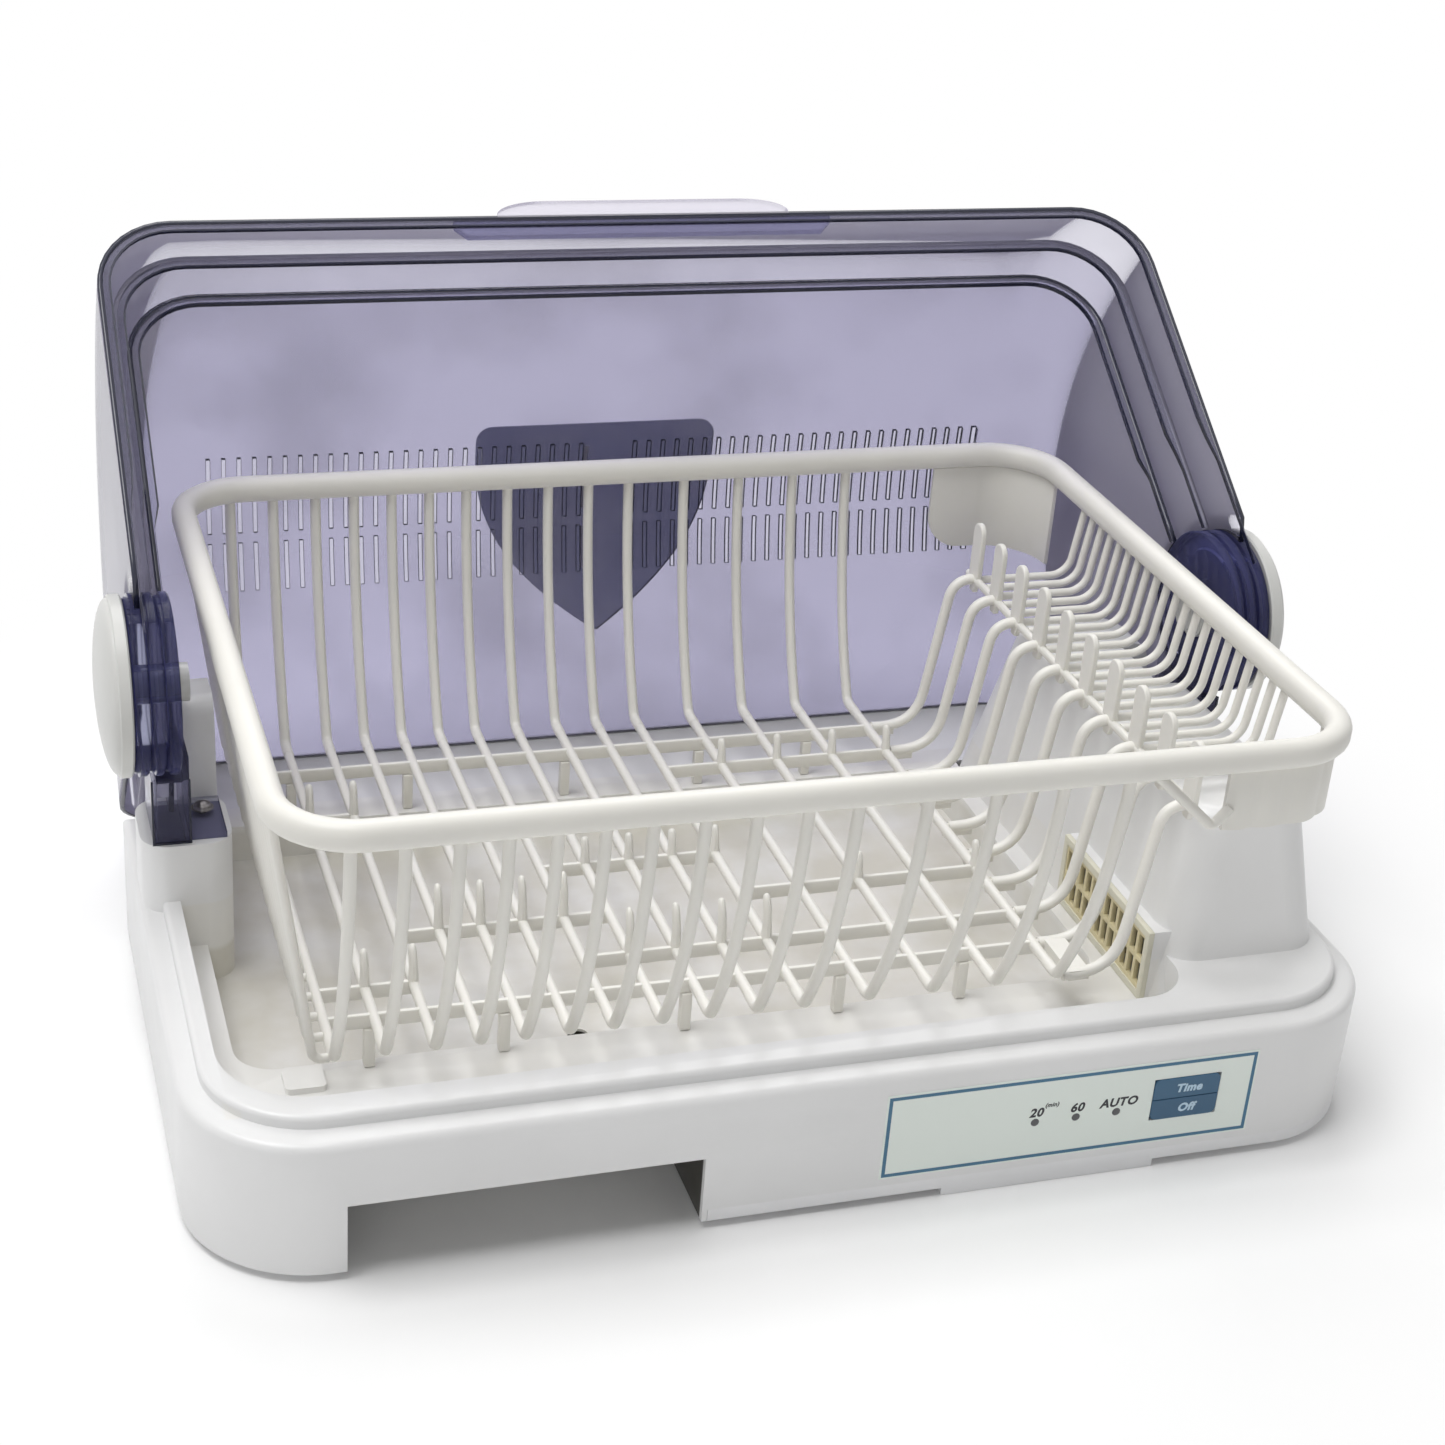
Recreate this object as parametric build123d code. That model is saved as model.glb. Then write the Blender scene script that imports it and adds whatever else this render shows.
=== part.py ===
from build123d import *
import math
import os

# Electric dish dryer: a moulded base with a tray well and a fan tower, a lift-out plate
# basket, and three nested tinted covers that turn about one hinge line.
# Sizes are in millimetres and angles in degrees. X points right, Y back and Z up.
# The pieces are modelled with the hinge line over y = 0, and moved at the end so that the
# origin lies on the table, at the middle of the dryer's depth with its covers open.

# Overall sizes that the rest follows
base_half_width = 280.0
hinge_height = 181.0
front_reach = 213.0
overrun = 20.0
fit_gap = 0.05

# Covers
cover_headroom = 53.0
cover_inset = 3.0
cover_step = 7.0
cover_wall = 2.4
cover_corner = 38.0
cover_rim_depth = 6.2
cover_rim_thickness = 2.4
cover_lead_slope = 34.5
cover_sector_end = 100.0
front_lead_angle = 46.0
middle_lead_angle = 40.5
rear_lead_angle = 34.8
front_trail_angle = -45.0
middle_trail_angle = -49.5
rear_trail_angle = -80.0
hub_radius = 42.0
hub_clearance = 0.6
rim_hub_gap = 16.0
finger_lip_length = 155.0
finger_lip_depth = 9.0
finger_band_length = 200.0
finger_band_depth = 11.5
grip_thickness = 2.0
grip_width = 138.0
grip_top_angle = 7.0
grip_tip_angle = -23.0
grip_corner = 9.0
grip_side_share = 0.45
leg_inner_inset = 24.0
leg_outer_inset = 7.0
leg_neck_height = 31.0
leg_depth = 38.0
leg_tab_width = 17.0
leg_tab_thickness = 3.0
leg_screw_y = 12.0
cheek_step = 51.0
cheek_gap = 2.6

# Air slots of the rear cover
vent_width = 2.2
vent_pitch = 8.2
vent_count = 26
vent_group_gap = 39.0
vent_off_centre = 6.5
vent_row_angles = ((3.2, -5.3), (-6.8, -13.8))

# Hinge pins and their caps
pin_radius = 9.0
pin_clearance = 0.1
cap_radius = 42.0
cap_thickness = 14.0
cap_rim_thickness = 6.0
cap_gap = 0.6
clip_length = 7.0
clip_radius = 13.0
clip_thickness = 2.6

# Base housing
base_corner = 58.0
base_wall = 2.8
ledge_height = 69.5
ledge_fillet = 4.0
housing_bottom = 4.0
shoulder_reach = 78.0
rear_setback = 24.0
rear_ledge_height = 45.0
shelf_back_width = 20.0
rear_clearance = 2.6
lip_height = 6.0
lip_width = 8.0
lip_setback = 13.0
lip_fillet = 2.6
well_setback = 18.0
well_front_gap = 15.0
well_corner = 40.0
well_inner_corner = 24.0
shelf_height = 50.0
well_floor = 30.0
deep_left_setback = 30.0
deep_right_gap = 10.0
deep_front = 126.0
deep_back = 92.0
deep_corner = 18.0
floor_wall = 2.8
well_rear_setback = 10.0
pad_width = 18.0
pad_depth = 17.0
pad_height = 3.0
pad_corner = 2.5
pad_left_inset = 48.0
pad_front_inset = 66.0

# Hinge towers
seat_height = 105.0
seat_reach = 44.0
seat_setback = 1.5
seat_front = 18.0
seat_back = 30.0
seat_corner = 13.0
hump_height = 156.0
hump_width = 16.0
hump_inset = 3.0
hump_back = 58.0
hump_foot_back = 92.0

# Fan tower
tower_height = 150.0
tower_foot_width = 102.0
tower_left_rake = 12.0
tower_side_setback = 9.0
tower_side_rake = 19.0
tower_foot_front = 164.0
tower_top_front = 153.0
tower_foot_back = 100.0
tower_top_back = 72.0
tower_foot_corner = 18.0
tower_top_corner = 22.0
tower_wall = 2.6
tower_edge = 9.0
shoulder_gap = 7.0
outlet_box_depth = 16.0

# Drip slot under the front
slot_left_setback = 63.6
slot_right = 60.2
slot_top = 38.0
slot_depth = 78.0
slot_low_top = 24.0
slot_low_depth = 55.0
slot_wall = 2.4
drain_radius = 5.0
drain_x = -88.0
drain_y = -98.0

# Bottom plate, feet and screws
plate_thickness = 3.0
seam_height = 10.0
plate_clearance = 0.3
skid_left = 54.0
skid_length = 106.0
skid_depth = 16.0
foot_radius = 9.0
foot_inset = 34.0
intake_slot_width = 3.0
intake_slot_length = 46.0
intake_slot_pitch = 7.0
intake_slot_count = 8
screw_head_radius = 4.2
screw_head_height = 2.2
screw_shank_radius = 1.8
screw_shank_length = 9.0
gland_setback = 10.0
gland_radius = 6.4
gland_bore = 2.2
boot_foot_radius = 5.0
boot_tip_radius = 3.6
boot_length = 12.6

# Air outlet
grille_proud = 3.0
grille_front = 152.0
grille_back = 55.0
grille_bottom = 50.0
grille_top = 88.0
grille_frame_width = 4.0
grille_thickness = 2.6
grille_hole_height = 11.5
grille_hole_width = 5.0
grille_hole_pitch = 7.4
grille_hole_count = 12

# Controls
label_setback = 73.5
label_length = 184.2
label_bottom = 14.0
label_top = 59.0
label_thickness = 0.4
key_inset = 18.5
key_length = 33.5
key_bottom = 27.0
key_split = 38.0
key_top = 49.0
key_gap = 0.3
key_proud = 0.9
key_flange = 1.4
key_flange_thickness = 1.2
key_travel = 0.6
board_gap = 8.6
board_thickness = 1.6
board_margin = 2.5
board_bottom = 14.0
board_top = 58.0
led_radius = 1.5
led_flange_radius = 1.95
led_height = 34.4
led_first_inset = 110.5
led_pitch = 20.3
led_count = 3
switch_side = 6.0
switch_height = 3.0
plunger_radius = 1.7
board_part_depth = 6.6
transformer_length = 18.0
relay_length = 14.0
capacitor_radius = 4.0
board_part_gap = 12.0

# Fan, motor and heater
fan_setback = 72.0
fan_y = 34.0
fan_z = 76.0
fan_width = 22.0
fan_radius = 36.0
fan_hub_radius = 10.0
fan_plate = 1.6
blade_count = 18
blade_thickness = 1.2
blade_depth = 8.0
shaft_radius = 2.5
motor_radius = 20.0
motor_length = 16.0
motor_gap = 3.0
bracket_half_width = 16.0
scroll_gap = 5.0
scroll_wall = 1.6
scroll_margin = 3.0
scroll_outlet = 62.0
heater_depth = 16.0
heater_gap = 4.0
heater_wall = 2.4
heater_wire = 1.1
heater_rows = 5
thermostat_radius = 8.0
thermostat_height = 5.0
thermostat_set_in = 11.2
thermostat_stud = 3.0
fuse_radius = 2.2
fuse_length = 14.0

# Basket
rail_setback = 40.2
rail_half_depth = 183.0
rail_centre_y = -15.8
rail_height = 206.5
rail_width = 12.0
rail_depth = 13.0
rail_corner = 34.0
rail_round = 4.0
rib_radius = 2.6
rib_bend = 9.0
rib_bow_share = 0.25
left_rib_radius = 2.1
floor_height = 75.5
floor_front = 161.5
floor_back = 133.0
rib_first_inset = 26.8
rib_last_gap = 22.6
rib_group_counts = (2, 4, 4, 4)
rib_pitch_shares = (0.0650, 0.0591, 0.0659, 0.0925)
floor_rib_width = 4.4
floor_rib_height = 5.0
cross_rib_width = 2.6
cross_rib_height = 8.0
cross_rib_drop = 0.65
left_floor_gap = 9.0
left_rib_count = 19
left_rib_pitch = 16.0
peg_width = 5.0
peg_shares = (0.0591, 0.2394, 0.4905, 0.7122, 0.8954)
peg_clearance = 0.3
prong_width = 3.4
prong_depth = 4.6
prong_round = 1.84
tall_prong = 20.0
middle_prong = 16.0
short_prong = 12.0
near_row_share = 0.182
front_row_share = 0.1986
left_row_share = 0.3243
stay_row_share = 0.3514
middle_row_share = 0.4805
back_row_share = 0.7114

# Cup shelf at the right of the basket
shelf_rib_radius = 2.1
cup_shelf_height = 162.0
cup_shelf_width = 58.8
cup_rib_count = 21
cup_rib_pitch = 11.2
cup_rib_bend = 12.0
tab_count = 10
tab_pitch = 28.6
tab_first_y = 98.0
tab_width = 9.0
tab_round = 4.05
tab_thickness = 2.8
tab_height = 34.0
stay_run = 33.0
stay_width = 4.0
stay_thickness = 4.6
stay_bend = 14.0
panel_wall = 2.4
front_panel_left = 66.0
front_panel_bottom = 170.5
back_panel_left = 61.8
back_panel_bottom = 152.0
panel_corner = 20.0
flute_radius = 18.0
flute_pitch = 14.5
flute_proud = 1.0
flute_count = 2
corner_flute_angles = (17.0, 45.0, 73.0)
bracket_radius = 2.4
bracket_gap = 5.2
bracket_run = 33.0
bracket_drop = 30.4
bracket_rise = 9.0
bracket_bend = 3.0

# Sizes that follow from those above
cover_radius = hinge_height + cover_headroom
cover_half_width = base_half_width - cover_inset
cover_front = (cover_radius, cover_half_width)
cover_middle = (cover_radius - cover_step, cover_half_width - cover_step)
cover_rear = (cover_radius - 2 * cover_step, cover_half_width - 2 * cover_step)
rear_inner_width = cover_rear[1] - cover_wall
rear_inner_radius = cover_rear[0] - cover_wall
hub_thickness = cover_step - hub_clearance
cap_inner_x = cover_half_width - cover_wall + hub_thickness + cap_gap
leg_inner = base_half_width - leg_inner_inset
leg_outer = base_half_width - leg_outer_inset
rear_half_width = base_half_width - rear_setback
base_rear_radius = cover_radius - cover_step - cover_wall - rear_clearance
lip_top = ledge_height + lip_height
well_side = base_half_width - well_setback
well_rear_side = rear_half_width - well_rear_setback
deep_left = base_half_width - deep_left_setback
seat_inner = base_half_width - seat_reach
seat_outer = base_half_width - seat_setback
tower_foot_left = base_half_width - tower_foot_width
tower_top_left = tower_foot_left + tower_left_rake
tower_foot_right = base_half_width - tower_side_setback
tower_top_right = tower_foot_right - tower_side_rake
deep_right = tower_foot_left - deep_right_gap
slot_left = base_half_width - slot_left_setback
skid_right = skid_left + skid_length
foot_rear_drop = hinge_height - housing_bottom
foot_rear_y = math.sqrt(base_rear_radius ** 2 - foot_rear_drop ** 2) - foot_inset
grille_x = tower_foot_left - grille_proud
label_right = base_half_width - label_setback
label_left = label_right - label_length
key_right = label_right - key_inset
key_left = key_right - key_length
board_right = label_right - board_margin
board_left = label_left - board_margin
led_first_x = label_right - led_first_inset
fan_left = base_half_width - fan_setback
rail_half_length = base_half_width - rail_setback
rib_first_x = rib_first_inset - rail_half_length
left_floor_x = rib_first_x - left_floor_gap
cup_shelf_left = rail_half_length - cup_shelf_width
stay_foot_x = cup_shelf_left - stay_run
rib_last_x = stay_foot_x - rib_last_gap
half_depth = (front_reach + cover_radius + grip_thickness) / 2
hinge_y = front_reach - half_depth


def block(x0, x1, y0, y1, z0, z1):
    """Box between two corners."""
    centre = Pos((x0 + x1) / 2, (y0 + y1) / 2, (z0 + z1) / 2)
    return centre * Box(x1 - x0, y1 - y0, z1 - z0)


def rounded_block(x0, x1, y0, y1, z0, z1, corner):
    """Upright box with rounded vertical edges."""
    plan = RectangleRounded(x1 - x0, y1 - y0, corner)
    return extrude(Pos((x0 + x1) / 2, (y0 + y1) / 2, z0) * plan, z1 - z0)


def tapered_block(foot, foot_corner, z0, top, top_corner, z1):
    """Upright box that lofts from one rounded rectangle to another."""
    outlines = []
    for (x0, x1, y0, y1), corner, z in ((foot, foot_corner, z0), (top, top_corner, z1)):
        plan = RectangleRounded(x1 - x0, y1 - y0, corner)
        outlines.append(Pos((x0 + x1) / 2, (y0 + y1) / 2, z) * plan)
    return loft(outlines, ruled=True)


def bar_x(x0, x1, y, z, radius):
    """Round bar along X."""
    return Pos((x0 + x1) / 2, y, z) * Rot(0, 90, 0) * Cylinder(radius, x1 - x0)


def bar_y(x, y0, y1, z, radius):
    """Round bar along Y."""
    return Pos(x, (y0 + y1) / 2, z) * Rot(90, 0, 0) * Cylinder(radius, y1 - y0)


def post(x, y, z0, z1, radius):
    """Round upright post."""
    return Pos(x, y, (z0 + z1) / 2) * Cylinder(radius, z1 - z0)


def mirrored(shape):
    """The same shape on the other side of the middle plane."""
    return mirror(shape, Plane.YZ)


def group(shapes):
    """Separate solids kept together in one node."""
    solids = []
    for shape in shapes:
        solids.extend(shape.solids())
    return Compound(children=solids)


def cut_each(shapes, tool):
    """Each shape without the tool, kept together in one node."""
    kept = [(shape - tool).solids().sort_by(SortBy.VOLUME)[-1] for shape in shapes]
    return Compound(children=kept)


def rod(points, bends, radius):
    """Round rod along a bent line."""
    path = FilletPolyline(*points, radius=bends) if len(points) > 2 else Line(*points)
    return sweep(Plane(origin=path @ 0, z_dir=path % 0) * Circle(radius), path=path)


# Covers

def cover_band(radius, half_width, depth, start, end):
    """Part of a turn of a rounded shell about the hinge line, of the given wall depth."""
    inner_limit = pin_radius + pin_clearance
    outer = Rectangle(2 * half_width, 2 * radius)
    outer = fillet(outer.vertices(), cover_corner)
    inner = Rectangle(2 * (half_width - depth), 2 * (radius - depth))
    inner = fillet(inner.vertices(), cover_corner - depth)
    lower = Pos(0, inner_limit / 2 - radius / 2) * Rectangle(4 * half_width, radius + inner_limit)
    face = Plane.XZ * (outer - inner - lower)
    return revolve(Rot(start - 90, 0, 0) * face, Axis.X, end - start)


def above_plane(slope, offset):
    """Large block on the upper side of a sloping plane near the hinge line."""
    size = 4 * cover_radius
    return Rot(slope, 0, 0) * Pos(0, 0, offset + size / 2) * Box(size, size, size)


def hub_discs(half_width):
    """Pair of round hubs on a cover's cheeks, bored for the hinge pins."""
    inner_x = half_width - cover_wall
    disc = bar_x(inner_x, inner_x + hub_thickness, 0, 0, hub_radius)
    return disc + mirrored(disc)


def hinge_bores(clearance):
    """Bores through both hubs."""
    bore = bar_x(-cap_inner_x - overrun, cap_inner_x + overrun, 0, 0, pin_radius + clearance)
    return bore


def cover_shell(size, lead_angle, trail_angle):
    """Cover with a flat-cut leading edge, an inward rim and two hubs."""
    radius, half_width = size
    offset = radius * math.sin(math.radians(lead_angle - cover_lead_slope))
    sector = (trail_angle, cover_sector_end)
    shell = cover_band(radius, half_width, cover_wall, *sector)
    rim = cover_band(radius, half_width, cover_rim_depth, *sector)
    rim = rim & above_plane(cover_lead_slope, offset - cover_rim_thickness)
    rim = rim - bar_x(-cap_inner_x, cap_inner_x, 0, 0, hub_radius + rim_hub_gap)
    return shell + rim - above_plane(cover_lead_slope, offset) + hub_discs(half_width)


def lead_frame():
    """Frame on the front cover's leading edge: Y runs outwards along the edge plane."""
    offset = cover_radius * math.sin(math.radians(front_lead_angle - cover_lead_slope))
    run = cover_radius * math.cos(math.radians(front_lead_angle - cover_lead_slope))
    return Rot(cover_lead_slope, 0, 0) * Pos(0, run, offset)


def make_front_cover():
    """Outer cover, with a finger lip and a deeper band in the middle of its leading edge."""
    cover = cover_shell(cover_front, front_lead_angle, front_trail_angle)
    lip_run = finger_lip_depth + cover_wall
    lip = Pos(0, lip_run / 2 - cover_wall, -cover_rim_thickness / 2)
    lip = lip * Box(finger_lip_length, lip_run, cover_rim_thickness)
    lip = fillet(lip.edges().filter_by(Axis.Z).group_by(Axis.Y)[-1], finger_lip_depth - cover_wall)
    half = finger_band_length / 2
    band = block(-half, half, -finger_band_depth, -cover_wall / 2, -2 * cover_rim_thickness,
                 -cover_rim_thickness / 2)
    band = chamfer(band.edges().filter_by(Axis.Z).group_by(Axis.Y)[0], cover_rim_depth)
    cover = cover + lead_frame() * (lip + band) - hinge_bores(pin_clearance)
    return Pos(0, 0, hinge_height) * cover


def make_middle_cover():
    """Cover between the other two."""
    cover = cover_shell(cover_middle, middle_lead_angle, middle_trail_angle)
    return Pos(0, 0, hinge_height) * (cover - hinge_bores(pin_clearance))


def make_rear_cover():
    """Fixed inner cover with air slots: it stands on the base's rear ledge and on two hollow
    legs that are screwed to the towers."""
    cover = cover_shell(cover_rear, rear_lead_angle, rear_trail_angle)
    cover = cover - cover_foot_room() - vent_slots()
    leg = cover_leg() + mirrored(cover_leg())
    cover = cover + leg - hinge_bores(pin_clearance / 2)
    screw_x, screw_y = foot_screw_place()
    drop = seat_height - hinge_height
    hole = post(screw_x, screw_y, drop - overrun, drop + overrun, screw_shank_radius + fit_gap)
    return Pos(0, 0, hinge_height) * (cover - hole - mirrored(hole))


def cover_foot_room():
    """Room below the rear cover, stepped from the seats over the shoulders to the rear ledge."""
    wide = base_half_width + overrun
    low = -2 * cover_radius
    room = block(-wide, wide, low, seat_back + cap_gap, low, seat_height - hinge_height + fit_gap)
    room = room + block(-wide, wide, low, seat_back + cheek_step, low,
                        lip_top + cheek_gap - hinge_height)
    return room + block(-wide, wide, low, -low, low, rear_ledge_height - hinge_height + fit_gap)


def vent_slots():
    """Four groups of upright air slots round the rear cover's back, as one cutter."""
    first_x = -vent_group_gap / 2 + vent_off_centre - vent_pitch * (vent_count - 1)
    slots = []
    for top_angle, low_angle in vent_row_angles:
        length = cover_rear[0] * math.radians(top_angle - low_angle)
        turn = Rot((top_angle + low_angle) / 2, 0, 0)
        for group_x in (first_x, vent_off_centre + vent_group_gap / 2):
            for i in range(vent_count):
                place = Pos(group_x + i * vent_pitch, rear_inner_radius, 0)
                slots.append(turn * place * Box(vent_width, 2 * cover_rim_depth, length))
    return slots


def cover_leg():
    """Hollow leg of the rear cover on the right side, with its screw tab."""
    drop = seat_height - hinge_height + fit_gap
    front = cover_wall - seat_front
    back = front + leg_depth
    split = -hub_radius - hub_clearance
    leg = block(leg_inner, leg_outer, front, back, drop, split)
    neck = block(leg_inner, rear_inner_width + cover_wall, front, back, split - cover_wall,
                 -leg_neck_height)
    room = block(leg_inner + cover_wall, leg_outer - cover_wall, front + cover_wall, back + overrun,
                 drop + leg_tab_thickness, split - cover_wall)
    tab = block(leg_inner - leg_tab_width, leg_inner + cover_wall, front + cover_wall, back, drop,
                drop + leg_tab_thickness)
    tab_edges = tab.edges().filter_by(Axis.Z).group_by(Axis.X)[0]
    return leg + neck + chamfer(tab_edges, leg_tab_thickness) - room


def foot_screw_place():
    """Where a foot's screw stands, on the right side."""
    return leg_inner - leg_tab_width / 2, leg_screw_y


def make_cover_screws():
    """Washer-head screws through the rear cover's feet."""
    screw_x, screw_y = foot_screw_place()
    seat = seat_height + leg_tab_thickness + 2 * fit_gap
    head = post(screw_x, screw_y, seat, seat + screw_head_height, screw_head_radius)
    head = fillet(head.edges().group_by(Axis.Z)[-1], screw_head_height / 2)
    shank = post(screw_x, screw_y, seat - screw_shank_length, seat, screw_shank_radius)
    screw = head + shank
    return group([screw, mirrored(screw)])


def make_grip():
    """Shield-shaped grip plate bonded to the outside of the front cover."""
    top = cover_radius * math.sin(math.radians(grip_top_angle))
    tip = cover_radius * math.sin(math.radians(grip_tip_angle))
    side = top + (tip - top) * grip_side_share
    half = grip_width / 2
    outline = Polyline((-half, top), (half, top), (half, side), (0, tip), (-half, side), close=True)
    plate = make_face(outline)
    plate = fillet(plate.vertices(), grip_corner)
    prism = extrude(Plane.XZ * plate, -2 * cover_radius)
    sleeve = bar_x(-half, half, 0, 0, cover_radius + grip_thickness)
    sleeve = sleeve - bar_x(-grip_width, grip_width, 0, 0, cover_radius)
    return Pos(0, 0, hinge_height) * (prism & sleeve)


def make_hinge_cap():
    """Right-hand cap with the pin that carries all three hubs."""
    cap = bar_x(cap_inner_x, cap_inner_x + cap_thickness, 0, 0, cap_radius)
    cap = fillet(cap.edges().group_by(Axis.X)[-1], cap_thickness - cap_rim_thickness)
    pin = bar_x(rear_inner_width - clip_length, cap_inner_x, 0, 0, pin_radius)
    return Pos(0, 0, hinge_height) * (cap + pin)


def make_hinge_clip():
    """Retaining clip on the right-hand pin's inner end."""
    outer_x = rear_inner_width - fit_gap
    ring = bar_x(outer_x - clip_thickness, outer_x, 0, 0, clip_radius)
    wedge = block(outer_x - clip_thickness, outer_x, 0, clip_radius + clip_thickness,
                  -clip_radius / 2, clip_radius / 2)
    bore = bar_x(outer_x - overrun, outer_x + overrun, 0, 0, pin_radius + fit_gap)
    return Pos(0, 0, hinge_height) * (ring + wedge - bore)


# Base

def base_front(inset, z0, z1):
    """Wide front part of the base outline, drawn in by an inset."""
    half = base_half_width - inset
    slab = rounded_block(-half, half, -front_reach + inset, shoulder_reach + base_corner - inset, z0, z1,
                         base_corner - inset)
    return slab & block(-base_half_width, base_half_width, -front_reach, shoulder_reach - inset, z0, z1)


def base_rear(inset, z0, z1):
    """Narrower rear part of the base, rounded to stay inside the covers."""
    half = rear_half_width - inset
    return block(-half, half, 0, base_rear_radius, z0, z1) & rear_drum(inset)


def base_plan(inset, z0, z1):
    """Base outline, drawn in by an inset, as a slab between two heights."""
    return base_front(inset, z0, z1) + base_rear(inset, z0, z1)


def rear_drum(inset):
    """Drum about the hinge line that bounds the base behind the towers."""
    half = rear_half_width - inset
    drum = bar_x(-half, half, 0, 0, base_rear_radius - inset)
    drum = fillet(drum.edges().filter_by(GeomType.CIRCLE), cover_corner - cover_wall - inset)
    return Pos(0, 0, hinge_height) * drum


def well_upper(grow):
    """Upper part of the tray well, grown by a wall: it stops at the fan tower's shoulder."""
    front = -front_reach + lip_setback + well_front_gap - grow
    z0 = shelf_height - grow
    z1 = lip_top + overrun
    right = tower_foot_left + shoulder_gap + grow
    wide = rounded_block(-well_side - grow, 0, front, base_rear_radius, z0, z1, well_corner + grow)
    inner = rounded_block(-well_side / 2, right, front, base_rear_radius, z0, z1,
                          well_inner_corner + grow)
    front_limit = block(-well_side - grow, right, front, shoulder_reach / 2, z0, z1)
    side = well_rear_side + grow
    rear_part = block(-side, side, 0, shoulder_reach + base_wall, z0, z1)
    tower_room = block(right, side + overrun, -overrun, tower_foot_back - grow, 0, z1 + overrun)
    return (wide + inner & front_limit) + (rear_part - tower_room)


def well_lower(grow):
    """Deep middle part of the tray well, grown by a wall."""
    return rounded_block(-deep_left - grow, deep_right + grow, -deep_front - grow,
                         deep_back + grow, well_floor - grow, shelf_height + overrun,
                         deep_corner + grow)


def left_tower(z0):
    """Solid left hinge tower, from a height up to its seat and hump."""
    pad = seat_pad(z0)
    front = seat_back - tower_edge / 2
    side = Polyline((front, z0), (front, seat_height),
                    (seat_back, hump_height), (hump_back, hump_height),
                    (hump_foot_back, z0), close=True)
    hump = extrude(Plane.YZ * make_face(side), hump_width)
    hump = fillet(hump.edges().filter_by(Axis.X).group_by(Axis.Z)[-1], tower_edge)
    return mirrored(pad) + Pos(-seat_inner - hump_inset - hump_width, 0, 0) * hump


def seat_pad(z0):
    """Seat column of the right side, rounded towards the front."""
    return rounded_block(seat_inner, seat_outer, -seat_front, seat_back, z0, seat_height, seat_corner)


def fan_tower(inset, z0):
    """Fan tower block, drawn in by a wall."""
    foot = (tower_foot_left + inset, tower_foot_right - inset,
            -tower_foot_front + inset, tower_foot_back - inset)
    top = (tower_top_left + inset, tower_top_right - inset,
           -tower_top_front + inset, tower_top_back - inset)
    return tapered_block(foot, tower_foot_corner - inset, z0, top, tower_top_corner - inset,
                         tower_height - inset)


def tower_seat():
    """Room for the rear cover's foot beside the fan tower."""
    return block(seat_inner - pin_clearance, seat_outer + overrun, -seat_front, seat_back, seat_height,
                 tower_height + overrun)


def tower_side_room(grow):
    """Room beside the fan tower for the rear cover's cheek, grown by a wall."""
    top = tower_height + overrun
    outer = base_half_width + overrun
    cheek = block(rear_inner_width - cheek_gap - grow, outer, seat_back - grow, base_rear_radius,
                  lip_top - grow, top)
    return cheek + block(rear_half_width - grow, outer, shoulder_reach - grow, base_rear_radius,
                         -overrun, top)


def slot_void(grow):
    """Room for a drip tray, reached from the front."""
    mouth = block(-slot_left - grow, -slot_right + grow, -front_reach - overrun,
                  -front_reach + slot_depth + grow, -overrun, slot_top + grow)
    low = block(-slot_left - grow, -slot_right + grow, -front_reach,
                -front_reach + slot_depth + slot_low_depth + grow, -overrun, slot_low_top + grow)
    return mouth + low


def make_housing():
    """Moulded base housing: skirt, ledge, lip, tray well, towers and drip slot."""
    outer = base_front(0, housing_bottom, ledge_height)
    outer = fillet(outer.edges().group_by(Axis.Z)[-1], ledge_fillet)
    rear_top = base_rear(0, housing_bottom, shelf_height)
    rear_step = block(-base_half_width, base_half_width, deep_back + shelf_back_width,
                      base_rear_radius + overrun, rear_ledge_height, shelf_height + overrun)
    outer = outer + (rear_top - rear_step)
    cavity = base_front(base_wall, housing_bottom - overrun, ledge_height - base_wall)
    cavity = cavity + base_rear(base_wall, housing_bottom - overrun, rear_ledge_height - base_wall)
    well = well_upper(0) + well_lower(0)
    zone = base_front(0, 0, ledge_height) + base_rear(0, 0, shelf_height)
    tub = (well_upper(floor_wall) + well_lower(floor_wall)) & zone
    tower = fillet(fan_tower(0, shelf_height - floor_wall).edges().group_by(Axis.Z)[-1], tower_edge)
    tower = tower - tower_seat() - tower_side_room(0) + outlet_box()
    towers = tower + left_tower(well_floor - floor_wall) + seat_pad(ledge_height - base_wall)
    slot_box = slot_void(slot_wall) & base_plan(0, housing_bottom, ledge_height)
    shell = outer - cavity + tub + lip_block() + slot_box - well + towers
    shell = shell - fan_cavity() - slot_void(0) + tray_pad()
    shell = shell - post(drain_x, drain_y, 0, shelf_height, drain_radius)
    shell = shell - block(-slot_right + slot_wall, base_half_width + overrun, -front_reach - overrun,
                          base_rear_radius + overrun, -overrun, seam_height)
    shell = shell - grille_window() - key_window() - led_holes() - foot_screw_holes() - gland_hole()
    return shell.solids().sort_by(SortBy.VOLUME)[-1]


def outlet_box():
    """Box on the tower's inner wall that carries the outlet frame."""
    return block(tower_foot_left, tower_foot_left + outlet_box_depth, -grille_front, -grille_back,
                 shelf_height - floor_wall, grille_top)


def tray_pad():
    """Raised pad on the well's front shelf."""
    x0 = pad_left_inset - base_half_width
    y0 = pad_front_inset - front_reach
    return rounded_block(x0, x0 + pad_width, y0, y0 + pad_depth, shelf_height - floor_wall,
                         shelf_height + pad_height, pad_corner)


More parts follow.
